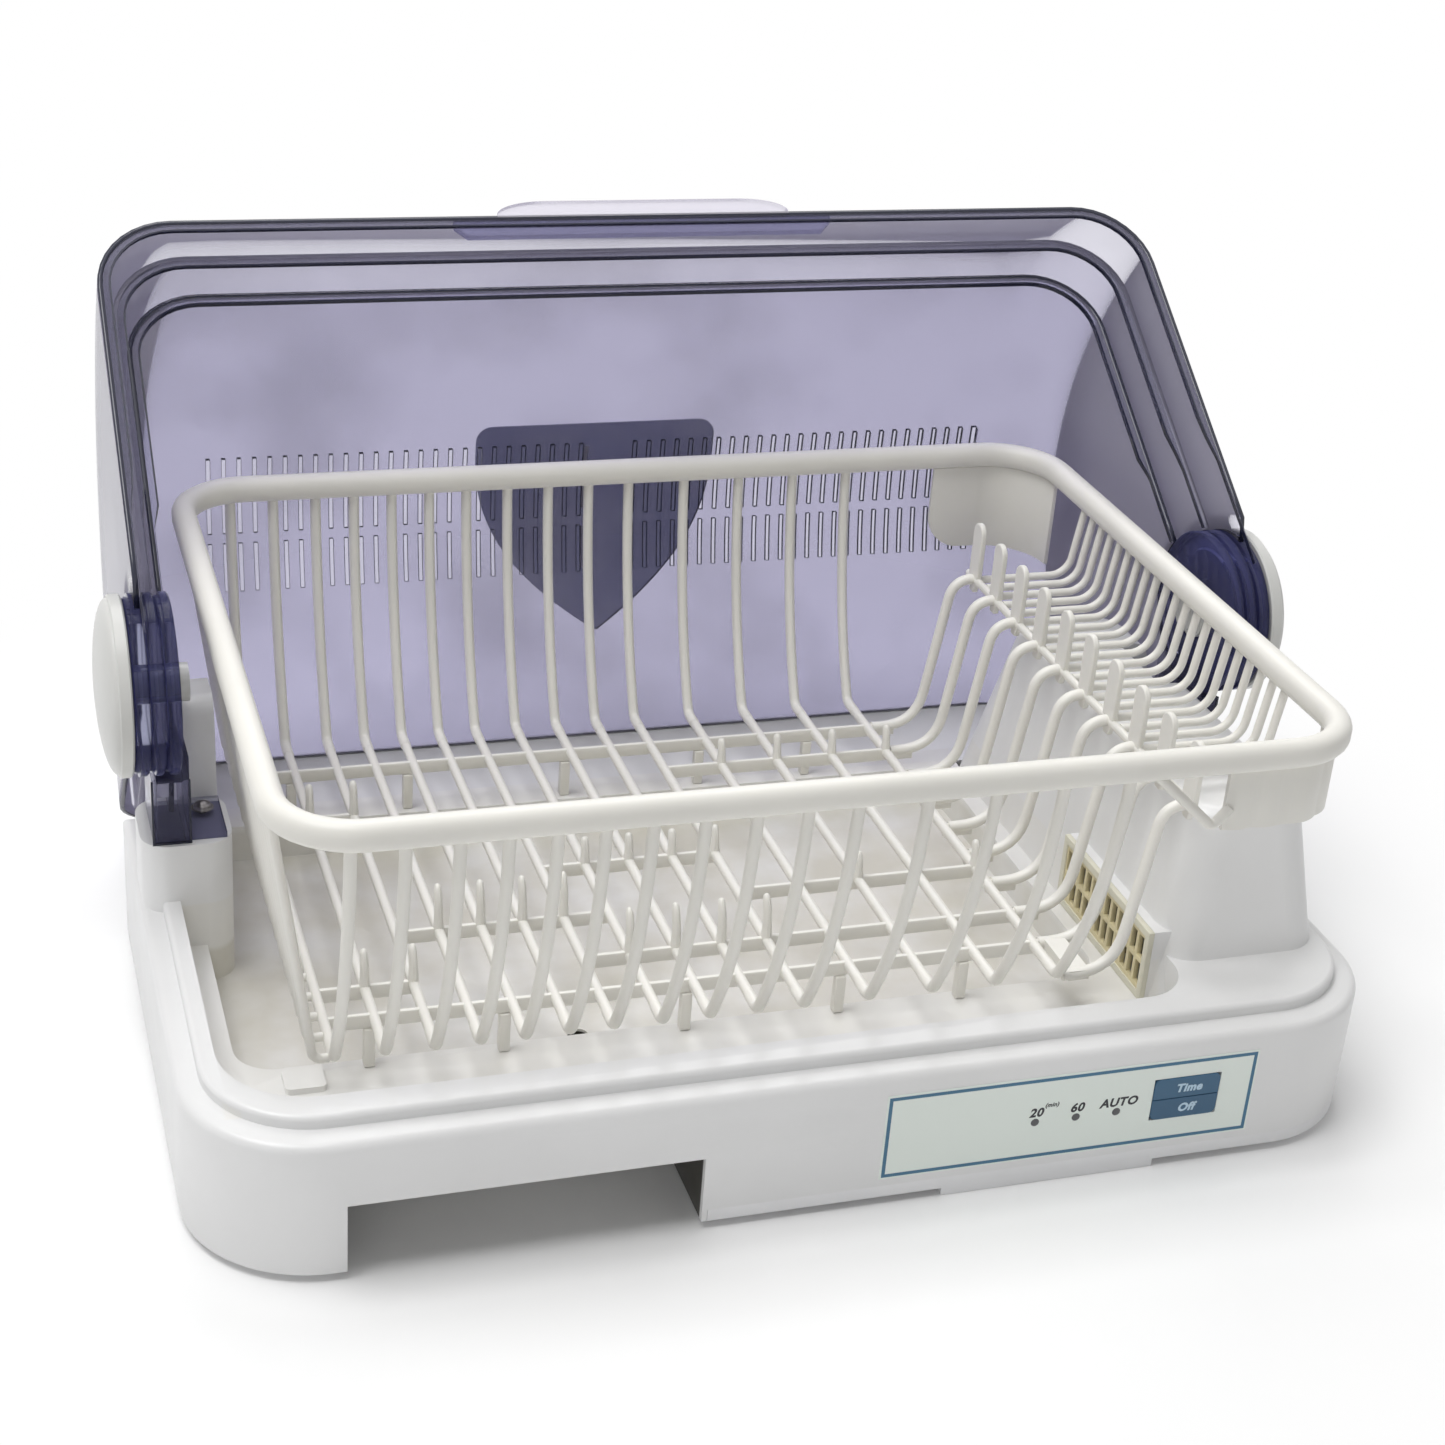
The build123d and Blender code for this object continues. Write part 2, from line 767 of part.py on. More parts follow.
def lip_block():
    """Solid raised lip over the well, before the well is cut out."""
    z0 = ledge_height - base_wall / 2
    side = well_side + lip_width
    plan = rounded_block(-side, side, -front_reach + lip_setback, base_rear_radius, z0, lip_top,
                         well_corner + lip_width)
    front = plan & block(-side, side, -front_reach, shoulder_reach / 2 + lip_width, z0, lip_top)
    return fillet(front.edges().group_by(Axis.Z)[-1], lip_fillet)


def gland_x():
    """X of the flex gland."""
    return base_half_width - gland_setback


def gland_hole():
    """Hole in the right shoulder for the flex gland."""
    return bar_y(gland_x(), shoulder_reach - overrun, shoulder_reach + overrun, gland_z(),
                 gland_radius + fit_gap)


def gland_z():
    """Height of the flex gland, above the rear part of the base."""
    return (rear_ledge_height + ledge_height) / 2


def fan_cavity():
    """Hollow inside the fan tower, open downwards."""
    upper = fan_tower(tower_wall, shelf_height - floor_wall)
    lower = block(tower_foot_left + tower_wall, tower_foot_right - tower_wall,
                  -tower_foot_front + tower_wall, tower_foot_back - tower_wall,
                  housing_bottom - overrun, shelf_height)
    seat = block(seat_inner - tower_wall, seat_outer + overrun, -seat_front - tower_wall,
                 seat_back + tower_wall, seat_height - tower_wall, tower_height + overrun)
    return upper + lower - seat - tower_side_room(tower_wall)


def grille_window():
    """Opening in the fan tower's inner wall behind the outlet grille."""
    margin = grille_frame_width / 2
    return block(grille_x - overrun, tower_foot_left + overrun, -grille_front + margin,
                 -grille_back - margin, grille_bottom + margin, grille_top - margin)


def key_window():
    """Opening in the front wall for the two keys."""
    return block(key_left - key_gap, key_right + key_gap, -front_reach - overrun,
                 -front_reach + base_wall + key_travel, key_bottom - key_gap, key_top + key_gap)


def led_places():
    """X of each indicator."""
    return [led_first_x + led_pitch * i for i in range(led_count)]


def led_holes():
    """Holes in the front wall for the indicators."""
    holes = [bar_y(x, -front_reach - overrun, -front_reach + overrun, led_height, led_radius)
             for x in led_places()]
    return holes


def foot_screw_holes():
    """Screw holes in both seats."""
    screw_x, screw_y = foot_screw_place()
    depth = screw_shank_length - leg_tab_thickness
    hole = post(screw_x, screw_y, seat_height - depth - pin_clearance, seat_height + overrun,
                screw_shank_radius + fit_gap)
    return hole + mirrored(hole)


def make_bottom_plate():
    """Plate that closes the base from below, with a rim at the right and a skid."""
    z1 = housing_bottom + plate_thickness
    full = base_plan(0, housing_bottom, z1)
    rim = base_plan(0, housing_bottom, seam_height) - base_plan(base_wall, 0, seam_height + overrun)
    split_x = -slot_right + slot_wall
    right = (full + rim) & block(split_x, base_half_width, -front_reach, base_rear_radius, 0,
                                 seam_height)
    left = base_plan(base_wall + plate_clearance, housing_bottom, z1)
    left = left & block(-base_half_width, split_x, -front_reach, base_rear_radius, 0, seam_height)
    slot = slot_void(slot_wall + plate_clearance)
    skid = block(skid_left, skid_right, -front_reach, -front_reach + skid_depth, 0, housing_bottom)
    plate = left + right - slot + skid
    x0 = fan_left - intake_slot_length / 2
    for i in range(intake_slot_count):
        y = fan_y + (i - (intake_slot_count - 1) / 2) * intake_slot_pitch
        plate = plate - block(x0, x0 + intake_slot_length, y - intake_slot_width / 2,
                              y + intake_slot_width / 2, 0, z1 + overrun)
    for x, y in plate_screw_places():
        plate = plate - post(x, y, 0, z1 + overrun, screw_shank_radius + fit_gap)
    return plate


def foot_places():
    """Centres of the four rubber feet."""
    x = base_half_width - foot_inset
    return [(-x, -front_reach + foot_inset), (x, -front_reach + foot_inset), (-x + foot_inset, foot_rear_y),
            (x - foot_inset, foot_rear_y)]


def make_feet():
    """Rubber feet under the corners."""
    feet = []
    for x, y in foot_places():
        foot = post(x, y, 0, housing_bottom - fit_gap, foot_radius)
        feet.append(chamfer(foot.edges().group_by(Axis.Z)[0], housing_bottom / 4))
    return group(feet)


def plate_screw_places():
    """Centres of the screws that hold the bottom plate."""
    x = base_half_width - foot_inset
    return [(-x, 0), (x, 0), (0, -front_reach + foot_inset), (0, foot_rear_y)]


def make_plate_screws():
    """Pan-head screws up through the bottom plate."""
    screws = []
    z1 = housing_bottom
    for x, y in plate_screw_places():
        head = post(x, y, z1 - screw_head_height, z1 - fit_gap, screw_head_radius)
        shank = post(x, y, z1 - fit_gap, z1 + screw_shank_length, screw_shank_radius)
        screws.append(head + shank)
    return group(screws)


def make_grille_frame():
    """White frame round the air outlet."""
    frame = block(grille_x, tower_foot_left, -grille_front, -grille_back, grille_bottom, grille_top)
    w = grille_frame_width
    return frame - block(grille_x - overrun, tower_foot_left + overrun, -grille_front + w,
                         -grille_back - w, grille_bottom + w, grille_top - w)


def make_grille():
    """Heat-proof outlet grille with two rows of holes."""
    w = grille_frame_width
    x0 = grille_x + (tower_foot_left - grille_x) / 4
    plate = block(x0, x0 + grille_thickness, -grille_front + w, -grille_back - w, grille_bottom + w,
                  grille_top - w)
    middle_y = -(grille_front + grille_back) / 2
    middle_z = (grille_bottom + grille_top) / 2
    rise = grille_hole_height / 2 + grille_thickness / 2
    for i in range(grille_hole_count):
        y = middle_y + (i - (grille_hole_count - 1) / 2) * grille_hole_pitch
        for z in (middle_z - rise, middle_z + rise):
            plate = plate - block(x0 - overrun, x0 + overrun, y - grille_hole_width / 2,
                                  y + grille_hole_width / 2, z - grille_hole_height / 2,
                                  z + grille_hole_height / 2)
    return plate


# Controls

def make_label():
    """Control panel plate on the front face."""
    plate = block(label_left, label_right, -front_reach - label_thickness, -front_reach,
                  label_bottom, label_top)
    return plate - key_window() - led_holes()


def make_key(z0, z1):
    """Push key with a flange that keeps it behind the front wall."""
    front = -front_reach - key_proud
    back = -front_reach + base_wall + key_gap
    cap = block(key_left, key_right, front, back, z0 + key_gap / 2, z1 - key_gap / 2)
    cap = fillet(cap.edges().filter_by(Axis.Z).group_by(Axis.Y)[0], key_proud / 2)
    flange = block(key_left - key_flange, key_right + key_flange, back, back + key_flange_thickness,
                   z0 + key_gap / 2, z1 - key_gap / 2)
    stem_end = board_front() - switch_height - key_travel - key_gap
    stem = bar_y((key_left + key_right) / 2, back, stem_end, (z0 + z1) / 2, plunger_radius)
    return cap + flange + stem


def board_front():
    """Y of the control board's front face."""
    return -front_reach + base_wall + board_gap


def make_board():
    """Control board behind the front wall."""
    y0 = board_front()
    board = block(board_left, board_right, y0, y0 + board_thickness, board_bottom, board_top)
    return board


def make_board_clips():
    """Posts that carry the board on the front wall."""
    y0 = -front_reach + base_wall
    posts = []
    for x in (board_left + plunger_radius * 2, board_right - plunger_radius * 2):
        for z in (board_bottom + plunger_radius * 2, board_top - plunger_radius * 2):
            posts.append(bar_y(x, y0, board_front(), z, plunger_radius))
    return group(posts)


def make_switches():
    """Tact switches behind the keys."""
    x = (key_left + key_right) / 2
    half = switch_side / 2
    switches = []
    for z0, z1 in ((key_bottom, key_split), (key_split, key_top)):
        z = (z0 + z1) / 2
        body_front = board_front() - switch_height / 2
        body = block(x - half, x + half, body_front, board_front(), z - half, z + half)
        plunger = bar_y(x, board_front() - switch_height, body_front, z, plunger_radius)
        switches.append(body + plunger)
    return group(switches)


def make_leds():
    """Indicator lenses that stand on the board and end in the front wall."""
    lenses = []
    for x in led_places():
        y1 = board_front() - fit_gap
        flange = bar_y(x, y1 - led_radius, y1, led_height, led_flange_radius)
        lenses.append(flange + bar_y(x, -front_reach - label_thickness / 2, y1, led_height,
                                     led_radius - key_gap / 4))
    return group(lenses)


def make_board_parts():
    """Transformer, relay and capacitor on the back of the board."""
    y0 = board_front() + board_thickness
    y1 = y0 + board_part_depth
    x0 = board_left + board_part_gap
    x1 = x0 + transformer_length + board_part_gap
    x2 = x1 + relay_length + board_part_gap
    z0 = board_bottom + board_margin
    transformer = block(x0, x0 + transformer_length, y0, y1, z0, z0 + transformer_length)
    relay = block(x1, x1 + relay_length, y0, y1, z0, z0 + relay_length)
    capacitor = bar_y(x2, y0, y1, z0 + relay_length, capacitor_radius)
    return group([transformer, relay, capacitor])


# Fan and heater

def make_impeller():
    """Squirrel-cage impeller with its shaft."""
    x1 = fan_left + fan_width
    back = bar_x(x1 - fan_plate, x1, fan_y, fan_z, fan_radius)
    ring = bar_x(fan_left, fan_left + fan_plate, fan_y, fan_z, fan_radius)
    ring = ring - bar_x(fan_left - overrun, fan_left + overrun, fan_y, fan_z, fan_radius - blade_depth)
    hub = bar_x(x1 - fan_hub_radius, x1, fan_y, fan_z, fan_hub_radius)
    wheel = back + ring + hub
    for i in range(blade_count):
        blade = block(fan_left + fan_plate / 2, x1 - fan_plate / 2, -blade_thickness / 2, blade_thickness / 2,
                      fan_radius - blade_depth + fan_plate / 2, fan_radius - fan_plate / 2)
        wheel = wheel + Pos(0, fan_y, fan_z) * (Rot(360 * i / blade_count, 0, 0) * blade)
    shaft = bar_x(x1 - fan_hub_radius, x1 + motor_gap + motor_length / 2, fan_y, fan_z, shaft_radius)
    return wheel + shaft


def make_motor():
    """Shaded-pole fan motor, bored for the shaft."""
    x0 = fan_left + fan_width + motor_gap
    motor = bar_x(x0, x0 + motor_length, fan_y, fan_z, motor_radius)
    bore = bar_x(x0 - overrun, x0 + motor_length / 2 + pin_clearance, fan_y, fan_z,
                 shaft_radius + pin_clearance / 2)
    return motor - bore


def make_motor_bracket():
    """Upright plate that carries the motor from the bottom plate."""
    x0 = fan_left + fan_width + motor_gap
    y0 = fan_y - bracket_half_width
    y1 = fan_y + bracket_half_width
    z0 = housing_bottom + plate_thickness
    plate = block(x0 + motor_length - scroll_margin, x0 + motor_length, y0, y1, z0, fan_z)
    foot = block(x0, x0 + motor_length, y0, y1, z0, z0 + scroll_wall)
    return plate + foot - bar_x(x0 - overrun, x0 + motor_length + overrun, fan_y, fan_z, motor_radius)


def make_scroll():
    """Sheet scroll round the impeller with an outlet towards the heater."""
    inner = fan_radius + scroll_gap
    outer = inner + scroll_wall
    x0 = fan_left - scroll_margin
    x1 = fan_left + fan_width + scroll_wall
    duct_end = heater_back()
    drum = bar_x(x0, x1, fan_y, fan_z, outer) + block(x0, x1, duct_end, fan_y, fan_z - outer,
                                                    fan_z - outer + scroll_outlet)
    hollow = bar_x(x0 + scroll_wall, x1 - scroll_wall, fan_y, fan_z, inner)
    hollow = hollow + block(x0 + scroll_wall, x1 - scroll_wall, duct_end - overrun, fan_y,
                            fan_z - inner, fan_z - outer + scroll_outlet - scroll_wall)
    eye = bar_x(x0 - overrun, x0 + overrun, fan_y, fan_z, fan_radius - blade_depth)
    back_hole = bar_x(x1 - overrun, x1 + overrun, fan_y, fan_z, fan_hub_radius)
    leg = block(x0, x1, fan_y - scroll_gap, fan_y + scroll_gap, housing_bottom + plate_thickness,
                fan_z - outer + scroll_wall / 2)
    return drum + leg - hollow - eye - back_hole


def heater_back():
    """Y of the heater frame's back face, where the scroll's duct ends."""
    return -grille_back + heater_depth + heater_gap


def make_heater_frame():
    """Mica frame that holds the heating wire across the duct."""
    outer = fan_radius + scroll_gap + scroll_wall
    x0 = fan_left - scroll_margin
    x1 = fan_left + fan_width + scroll_wall
    y1 = heater_back()
    y0 = y1 - heater_depth
    z0 = fan_z - outer
    z1 = z0 + scroll_outlet
    frame = block(x0, x1, y0, y1, z0, z1)
    w = heater_wall
    frame = frame - block(x0 + w, x1 - w, y0 - overrun, y1 + overrun, z0 + w, z1 - w)
    leg = block(x0, x1, y0 + w, y1 - w, housing_bottom + plate_thickness, z0)
    return frame + leg


def make_heater_wires():
    """Rows of heating wire across the frame."""
    outer = fan_radius + scroll_gap + scroll_wall
    w = heater_wall
    x0 = fan_left - scroll_margin + w
    x1 = fan_left + fan_width + scroll_wall - w
    y = heater_back() - heater_depth / 2
    z0 = fan_z - outer
    wires = []
    for i in range(heater_rows):
        z = z0 + scroll_outlet * (i + 1) / (heater_rows + 1)
        wires.append(bar_x(x0, x1, y, z, heater_wire))
    return group(wires)


def make_thermostat():
    """Disc thermostat on top of the scroll's duct."""
    outer = fan_radius + scroll_gap + scroll_wall
    z = fan_z - outer + scroll_outlet
    x = fan_left + fan_width / 2
    y = heater_back() + thermostat_set_in
    can = post(x, y, z, z + thermostat_height, thermostat_radius)
    top = z + thermostat_height
    return can + post(x, y, top, top + thermostat_stud, thermostat_radius / 2)


def make_fuse():
    """Thermal fuse on top of the heater frame."""
    outer = fan_radius + scroll_gap + scroll_wall
    z = fan_z - outer + scroll_outlet + fuse_radius
    x = fan_left + fan_width / 2
    y = heater_back() - heater_depth / 2
    fuse = bar_x(x - fuse_length / 2, x + fuse_length / 2, y, z, fuse_radius)
    clip = block(x - fuse_radius, x + fuse_radius, y - fuse_radius, y + fuse_radius, z - fuse_radius, z)
    return fuse + clip


def make_gland():
    """Flex gland in the right shoulder's rear face."""
    x = gland_x()
    z = gland_z()
    gland = bar_y(x, shoulder_reach - base_wall, shoulder_reach + base_wall, z, gland_radius)
    boot = Pos(x, shoulder_reach + base_wall, z) * Rot(-90, 0, 0)
    lower = (Align.CENTER, Align.CENTER, Align.MIN)
    boot = boot * Cone(boot_foot_radius, boot_tip_radius, boot_length, align=lower)
    bore = bar_y(x, shoulder_reach - overrun, shoulder_reach + 2 * overrun, z, gland_bore)
    return gland + boot - bore


# Basket

def rib_places():
    """X of each plate rib, in groups of equal pitch."""
    span = rib_last_x - rib_first_x
    places = [rib_first_x]
    for count, share in zip(rib_group_counts, rib_pitch_shares):
        for _ in range(count):
            places.append(places[-1] + share * span)
    return places


def row_y(share):
    """Y of a cross row, as a share of the floor's depth from the front."""
    return share * (floor_front + floor_back) - floor_front


def rail_plan(grow):
    """Rounded rectangle of the rail's centre line, grown by an amount."""
    return Pos(0, rail_centre_y) * RectangleRounded(2 * (rail_half_length + grow),
                                                    2 * (rail_half_depth + grow), rail_corner + grow)


def make_rail():
    """Rounded rail round the basket's top."""
    z0 = rail_height - rail_depth / 2
    outline = rail_plan(rail_width / 2) - rail_plan(-rail_width / 2)
    rail = extrude(Pos(0, 0, z0) * outline, rail_depth)
    return fillet(rail.edges().filter_by(lambda e: abs(e.center().Z - rail_height) > rail_depth / 3),
                  rail_round)


def wall_rib(x, rail_y, floor_y, side):
    """Rib that bows from the rail down to the floor; side is -1 at the front, 1 at the back."""
    top = Vector(x, rail_y, rail_height - rail_depth / 2 + rib_radius)
    toe = Vector(x, floor_y - side * rib_radius, floor_height)
    drop = top.Z - toe.Z
    run = abs(top.Y - toe.Y)
    bow = math.atan2(run, drop)
    corner = Vector(x, toe.Y + side * rib_bend * math.tan(bow), floor_height + rib_bend)
    middle = (top + corner) / 2
    sag = math.hypot(drop, run) * math.tan(bow / 2) * rib_bow_share
    middle = middle + Vector(0, side * sag, 0)
    arc = ThreePointArc(top, middle, corner)
    end = Vector(x, toe.Y - side * rib_bend, floor_height)
    tip = TangentArc(corner, end, tangent=arc % 1)
    path = Wire([*arc.edges(), *tip.edges()])
    return sweep(Plane(origin=top, z_dir=arc % 0) * Circle(rib_radius), path=path)


def make_front_ribs():
    """Ribs of the front wall."""
    rail_y = rail_centre_y - rail_half_depth
    ribs = [wall_rib(x, rail_y, -floor_front, -1) for x in rib_places()]
    return cut_each(ribs, make_rail() + floor_zone())


def make_back_ribs():
    """Ribs of the back wall."""
    rail_y = rail_centre_y + rail_half_depth
    ribs = [wall_rib(x, rail_y, floor_back, 1) for x in rib_places()]
    return cut_each(ribs, make_rail() + floor_zone())


def floor_zone():
    """Room taken by the flat part of the floor."""
    return block(rib_first_x - floor_rib_width / 2, rail_half_length, -floor_front + rib_bend + rib_radius,
                 floor_back - rib_bend - rib_radius, 0, floor_height + floor_rib_height)


def make_left_ribs():
    """Close ribs of the left wall, bent in to the floor's first rib."""
    ribs = []
    middle = (floor_back - floor_front) / 2
    for i in range(left_rib_count):
        y = middle + (i - (left_rib_count - 1) / 2) * left_rib_pitch
        points = [(-rail_half_length, y, rail_height - rail_depth / 2 + rib_radius),
                  (left_floor_x, y, floor_height),
                  (rib_first_x - floor_rib_width / 2, y, floor_height)]
        ribs.append(rod(points, rib_bend / 2, left_rib_radius))
    return cut_each(ribs, make_rail())


def cross_rows():
    """Cross ribs of the floor: Y, first X, last X."""
    xs = rib_places()
    ys = tab_places()
    rows = [(ys[0], xs[0], xs[-1]), (ys[8], xs[0], xs[-1]), (ys[1], xs[10], xs[-1]),
            (row_y(back_row_share), xs[0], xs[2]), (row_y(left_row_share), xs[2], xs[7]),
            (row_y(front_row_share), xs[6], xs[10]), (row_y(middle_row_share), xs[6], xs[10]),
            (row_y(stay_row_share), xs[10], xs[-1]), (ys[7], xs[10], xs[-1]),
            (row_y(near_row_share), xs[0], xs[2])]
    return rows + [(y, xs[-1], stay_foot_x - stay_bend / 2) for y in ys[:-1]]


def make_floor():
    """Floor lattice of long ribs and cross ribs."""
    z1 = floor_height + floor_rib_height / 2
    floor = None
    for x in rib_places():
        bar = block(x - floor_rib_width / 2, x + floor_rib_width / 2,
                    -floor_front + rib_bend + rib_radius, floor_back - rib_bend - rib_radius,
                    z1 - floor_rib_height, z1)
        floor = bar if floor is None else floor + bar
    for y, x0, x1 in cross_rows():
        floor = floor + block(x0, x1, y - cross_rib_width / 2, y + cross_rib_width / 2,
                              z1 - cross_rib_height, z1 - cross_rib_drop)
    x0 = rib_places()[-1] + 2 * rib_radius
    ys = tab_places()
    link = block(x0, stay_foot_x - stay_bend / 2, ys[-1] - stay_width / 2, ys[-2], z1 - floor_rib_height, z1)
    return floor + link


def prong_rows():
    """Rows of plate prongs: Y, height, indices of the ribs that carry them."""
    return [(row_y(left_row_share), tall_prong, range(3, 7)),
            (row_y(front_row_share), tall_prong, range(7, 11)),
            (row_y(middle_row_share), short_prong, range(7, 11)),
            (row_y(stay_row_share), short_prong, range(11, 15)),
            (tab_places()[1], short_prong, range(11, 15)),
            (row_y(back_row_share), middle_prong, range(1, 3)),
            (row_y(near_row_share), middle_prong, range(1, 3))]


def make_prongs():
    """Upright prongs that keep plates apart."""
    xs = rib_places()
    z0 = floor_height + floor_rib_height / 2
    prongs = []
    for y, height, indices in prong_rows():
        for i in indices:
            prong = block(xs[i] - prong_width / 2, xs[i] + prong_width / 2, y - prong_depth / 2,
                          y + prong_depth / 2, z0, z0 + height)
            top = prong.edges().group_by(Axis.Z)[-1].filter_by(Axis.X)
            prongs.append(fillet(top, prong_round))
    return group(prongs)


def make_pegs():
    """Pegs that stand the basket on the well's shelves."""
    z0 = shelf_height + peg_clearance
    z1 = floor_height + floor_rib_height / 2 - cross_rib_height
    half = peg_width / 2
    pegs = []
    span = rib_last_x - rib_first_x
    for x in [rib_first_x + share * span for share in peg_shares]:
        for y in (tab_places()[-2], tab_places()[0]):
            pegs.append(block(x - half, x + half, y - half, y + half, z0, z1))
    return group(pegs)


def cup_ribs():
    """Y of each fine rib of the cup shelf."""
    middle = rail_centre_y
    return [middle + (i - (cup_rib_count - 1) / 2) * cup_rib_pitch for i in range(cup_rib_count)]


def make_cup_ribs():
    """Fine ribs that hang from the right rail and bend in as the cup shelf."""
    ribs = []
    for y in cup_ribs():
        points = [(rail_half_length, y, rail_height - rail_depth / 2 + rib_radius),
                  (rail_half_length - cup_rib_bend / 2, y, cup_shelf_height),
                  (cup_shelf_left, y, cup_shelf_height)]
        ribs.append(rod(points, cup_rib_bend, shelf_rib_radius))
    return cut_each(ribs, make_rail())


def tab_places():
    """Y of each tab and stay of the cup shelf."""
    return [tab_first_y - i * tab_pitch for i in range(tab_count)]


def make_shelf_edge():
    """Bar along the cup shelf's left edge with its upright tabs."""
    z0 = cup_shelf_height - shelf_rib_radius
    y0 = tab_places()[-1] - tab_width
    y1 = tab_places()[0] + tab_width
    edge = block(cup_shelf_left - tab_thickness, cup_shelf_left, y0, y1, z0, z0 + 2 * shelf_rib_radius)
    for y in tab_places():
        tab = block(cup_shelf_left - tab_thickness, cup_shelf_left, y - tab_width / 2, y + tab_width / 2,
                    z0, z0 + tab_height)
        edge = edge + fillet(tab.edges().group_by(Axis.Z)[-1].filter_by(Axis.X), tab_round)
    return edge


def make_stays():
    """Bent stays that carry the cup shelf from the floor."""
    stays = []
    for y in tab_places():
        points = [(cup_shelf_left - tab_thickness, cup_shelf_height),
                  (cup_shelf_left - stay_bend, cup_shelf_height),
                  (stay_foot_x + stay_bend / 2, floor_height), (stay_foot_x - stay_bend / 2, floor_height)]
        path = FilletPolyline(*[(x, 0, z) for x, z in points], radius=stay_bend / 2)
        section = Plane(origin=path @ 0, x_dir=(0, 1, 0), z_dir=path % 0)
        section = section * Rectangle(stay_width, stay_thickness)
        stays.append(Pos(0, y, 0) * sweep(section, path=path))
    return group(stays)


def make_corner_panel(side, left, bottom):
    """Fluted wall panel round one right-hand corner; side is -1 at the front, 1 at the back."""
    z1 = rail_height - rail_depth / 2
    shell = rail_plan(0) - rail_plan(-panel_wall)
    band = rail_plan(flute_proud) - rail_plan(-panel_wall / 2)
    rail_y = rail_centre_y + side * rail_half_depth
    y1 = rail_y - side * rail_corner
    plan = shell
    for x, y in flute_places(side, left):
        plan = plan + (band & Pos(x, y) * Circle(flute_radius))
    wall = extrude(Pos(0, 0, bottom) * plan, z1 - bottom)
    y0 = rail_y + side * rail_width
    keep = block(left, rail_half_length + rail_width, min(y0, y1), max(y0, y1), bottom, z1)
    return wall & keep


def flute_places(side, left):
    """Centres of a corner panel's round flutes, along the straight and round the corner."""
    rail_y = rail_centre_y + side * rail_half_depth
    y = rail_y - side * (flute_radius - flute_proud)
    places = [(left + flute_pitch * (i + 1 / 2), y) for i in range(flute_count)]
    corner_x = rail_half_length - rail_corner
    corner_y = rail_y - side * rail_corner
    reach = rail_corner + flute_proud - flute_radius
    for angle in corner_flute_angles:
        turn = math.radians(angle)
        places.append((corner_x + reach * math.sin(turn), corner_y + side * reach * math.cos(turn)))
    return places


def make_front_panel():
    """Front corner panel with the bent bracket that ties it to the rail."""
    left = rail_half_length - front_panel_left
    panel = make_corner_panel(-1, left, front_panel_bottom)
    y = rail_centre_y - rail_half_depth
    tip_x = left - bracket_gap
    tip_z = front_panel_bottom + bracket_radius
    points = [(tip_x - bracket_run, y, tip_z + bracket_drop), (tip_x, y, tip_z),
              (left + panel_wall, y, tip_z + bracket_rise)]
    bracket = rod(points, bracket_bend, bracket_radius)
    return panel + (bracket - make_rail())


def make_back_panel():
    """Back corner panel, with its lower edge rounded up towards the back wall."""
    left = rail_half_length - back_panel_left
    panel = make_corner_panel(1, left, back_panel_bottom)
    y1 = rail_centre_y + rail_half_depth + rail_width
    y0 = y1 - rail_corner
    cutter = block(left - overrun, left + panel_corner, y0, y1, back_panel_bottom - overrun,
                   back_panel_bottom + panel_corner)
    centre = bar_y(left + panel_corner, y0 - overrun, y1 + overrun, back_panel_bottom + panel_corner,
                   panel_corner)
    return panel - (cutter - centre)


def build():
    """All nodes by name."""
    cap = make_hinge_cap()
    clip = make_hinge_clip()
    return {
        "base_housing": make_housing(),
        "bottom_plate": make_bottom_plate(),
        "rubber_feet": make_feet(),
        "plate_screws": make_plate_screws(),
        "outlet_frame": make_grille_frame(),
        "outlet_grille": make_grille(),
        "control_panel": make_label(),
        "control_board": make_board(),
        "board_posts": make_board_clips(),
        "board_parts": make_board_parts(),
        "key_switches": make_switches(),
        "indicator_lenses": make_leds(),
        "time_key": make_key(key_split, key_top),
        "off_key": make_key(key_bottom, key_split),
        "fan_scroll": make_scroll(),
        "fan_impeller": make_impeller(),
        "fan_motor": make_motor(),
        "motor_bracket": make_motor_bracket(),
        "heater_frame": make_heater_frame(),
        "heater_wires": make_heater_wires(),
        "thermostat": make_thermostat(),
        "thermal_fuse": make_fuse(),
        "flex_gland": make_gland(),
        "rear_cover": make_rear_cover(),
        "rear_cover_screws": make_cover_screws(),
        "middle_cover": make_middle_cover(),
        "front_cover": make_front_cover(),
        "cover_grip": make_grip(),
        "hinge_cap_right": cap,
        "hinge_cap_left": mirrored(cap),
        "hinge_clip_right": clip,
        "hinge_clip_left": mirrored(clip),
        "basket_rail": make_rail(),
        "basket_front_ribs": make_front_ribs(),
        "basket_back_ribs": make_back_ribs(),
        "basket_left_ribs": make_left_ribs(),
        "basket_floor": make_floor(),
        "plate_prongs": make_prongs(),
        "basket_pegs": make_pegs(),
        "cup_shelf_ribs": make_cup_ribs(),
        "cup_shelf_edge": make_shelf_edge(),
        "cup_shelf_stays": make_stays(),
        "front_corner_panel": make_front_panel(),
        "back_corner_panel": make_back_panel(),
    }


os.makedirs("parts", exist_ok=True)
for name, shape in build().items():
    export_step(Pos(0, hinge_y, 0) * shape, f"parts/{name}.step")
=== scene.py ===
"""Electric dish dryer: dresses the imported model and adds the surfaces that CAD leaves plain.

The shapes are worked out in millimetres, in the frame of part.py with the hinge line over y = 0,
and go into each mesh in metres, in the row's own frame.
"""

import logging  # noqa: E402
import math  # noqa: E402
from dataclasses import dataclass, field  # noqa: E402
from enum import Enum  # noqa: E402

import bmesh  # noqa: E402
import bpy  # noqa: E402
import numpy as np  # noqa: E402
from mathutils import Matrix, Vector  # noqa: E402

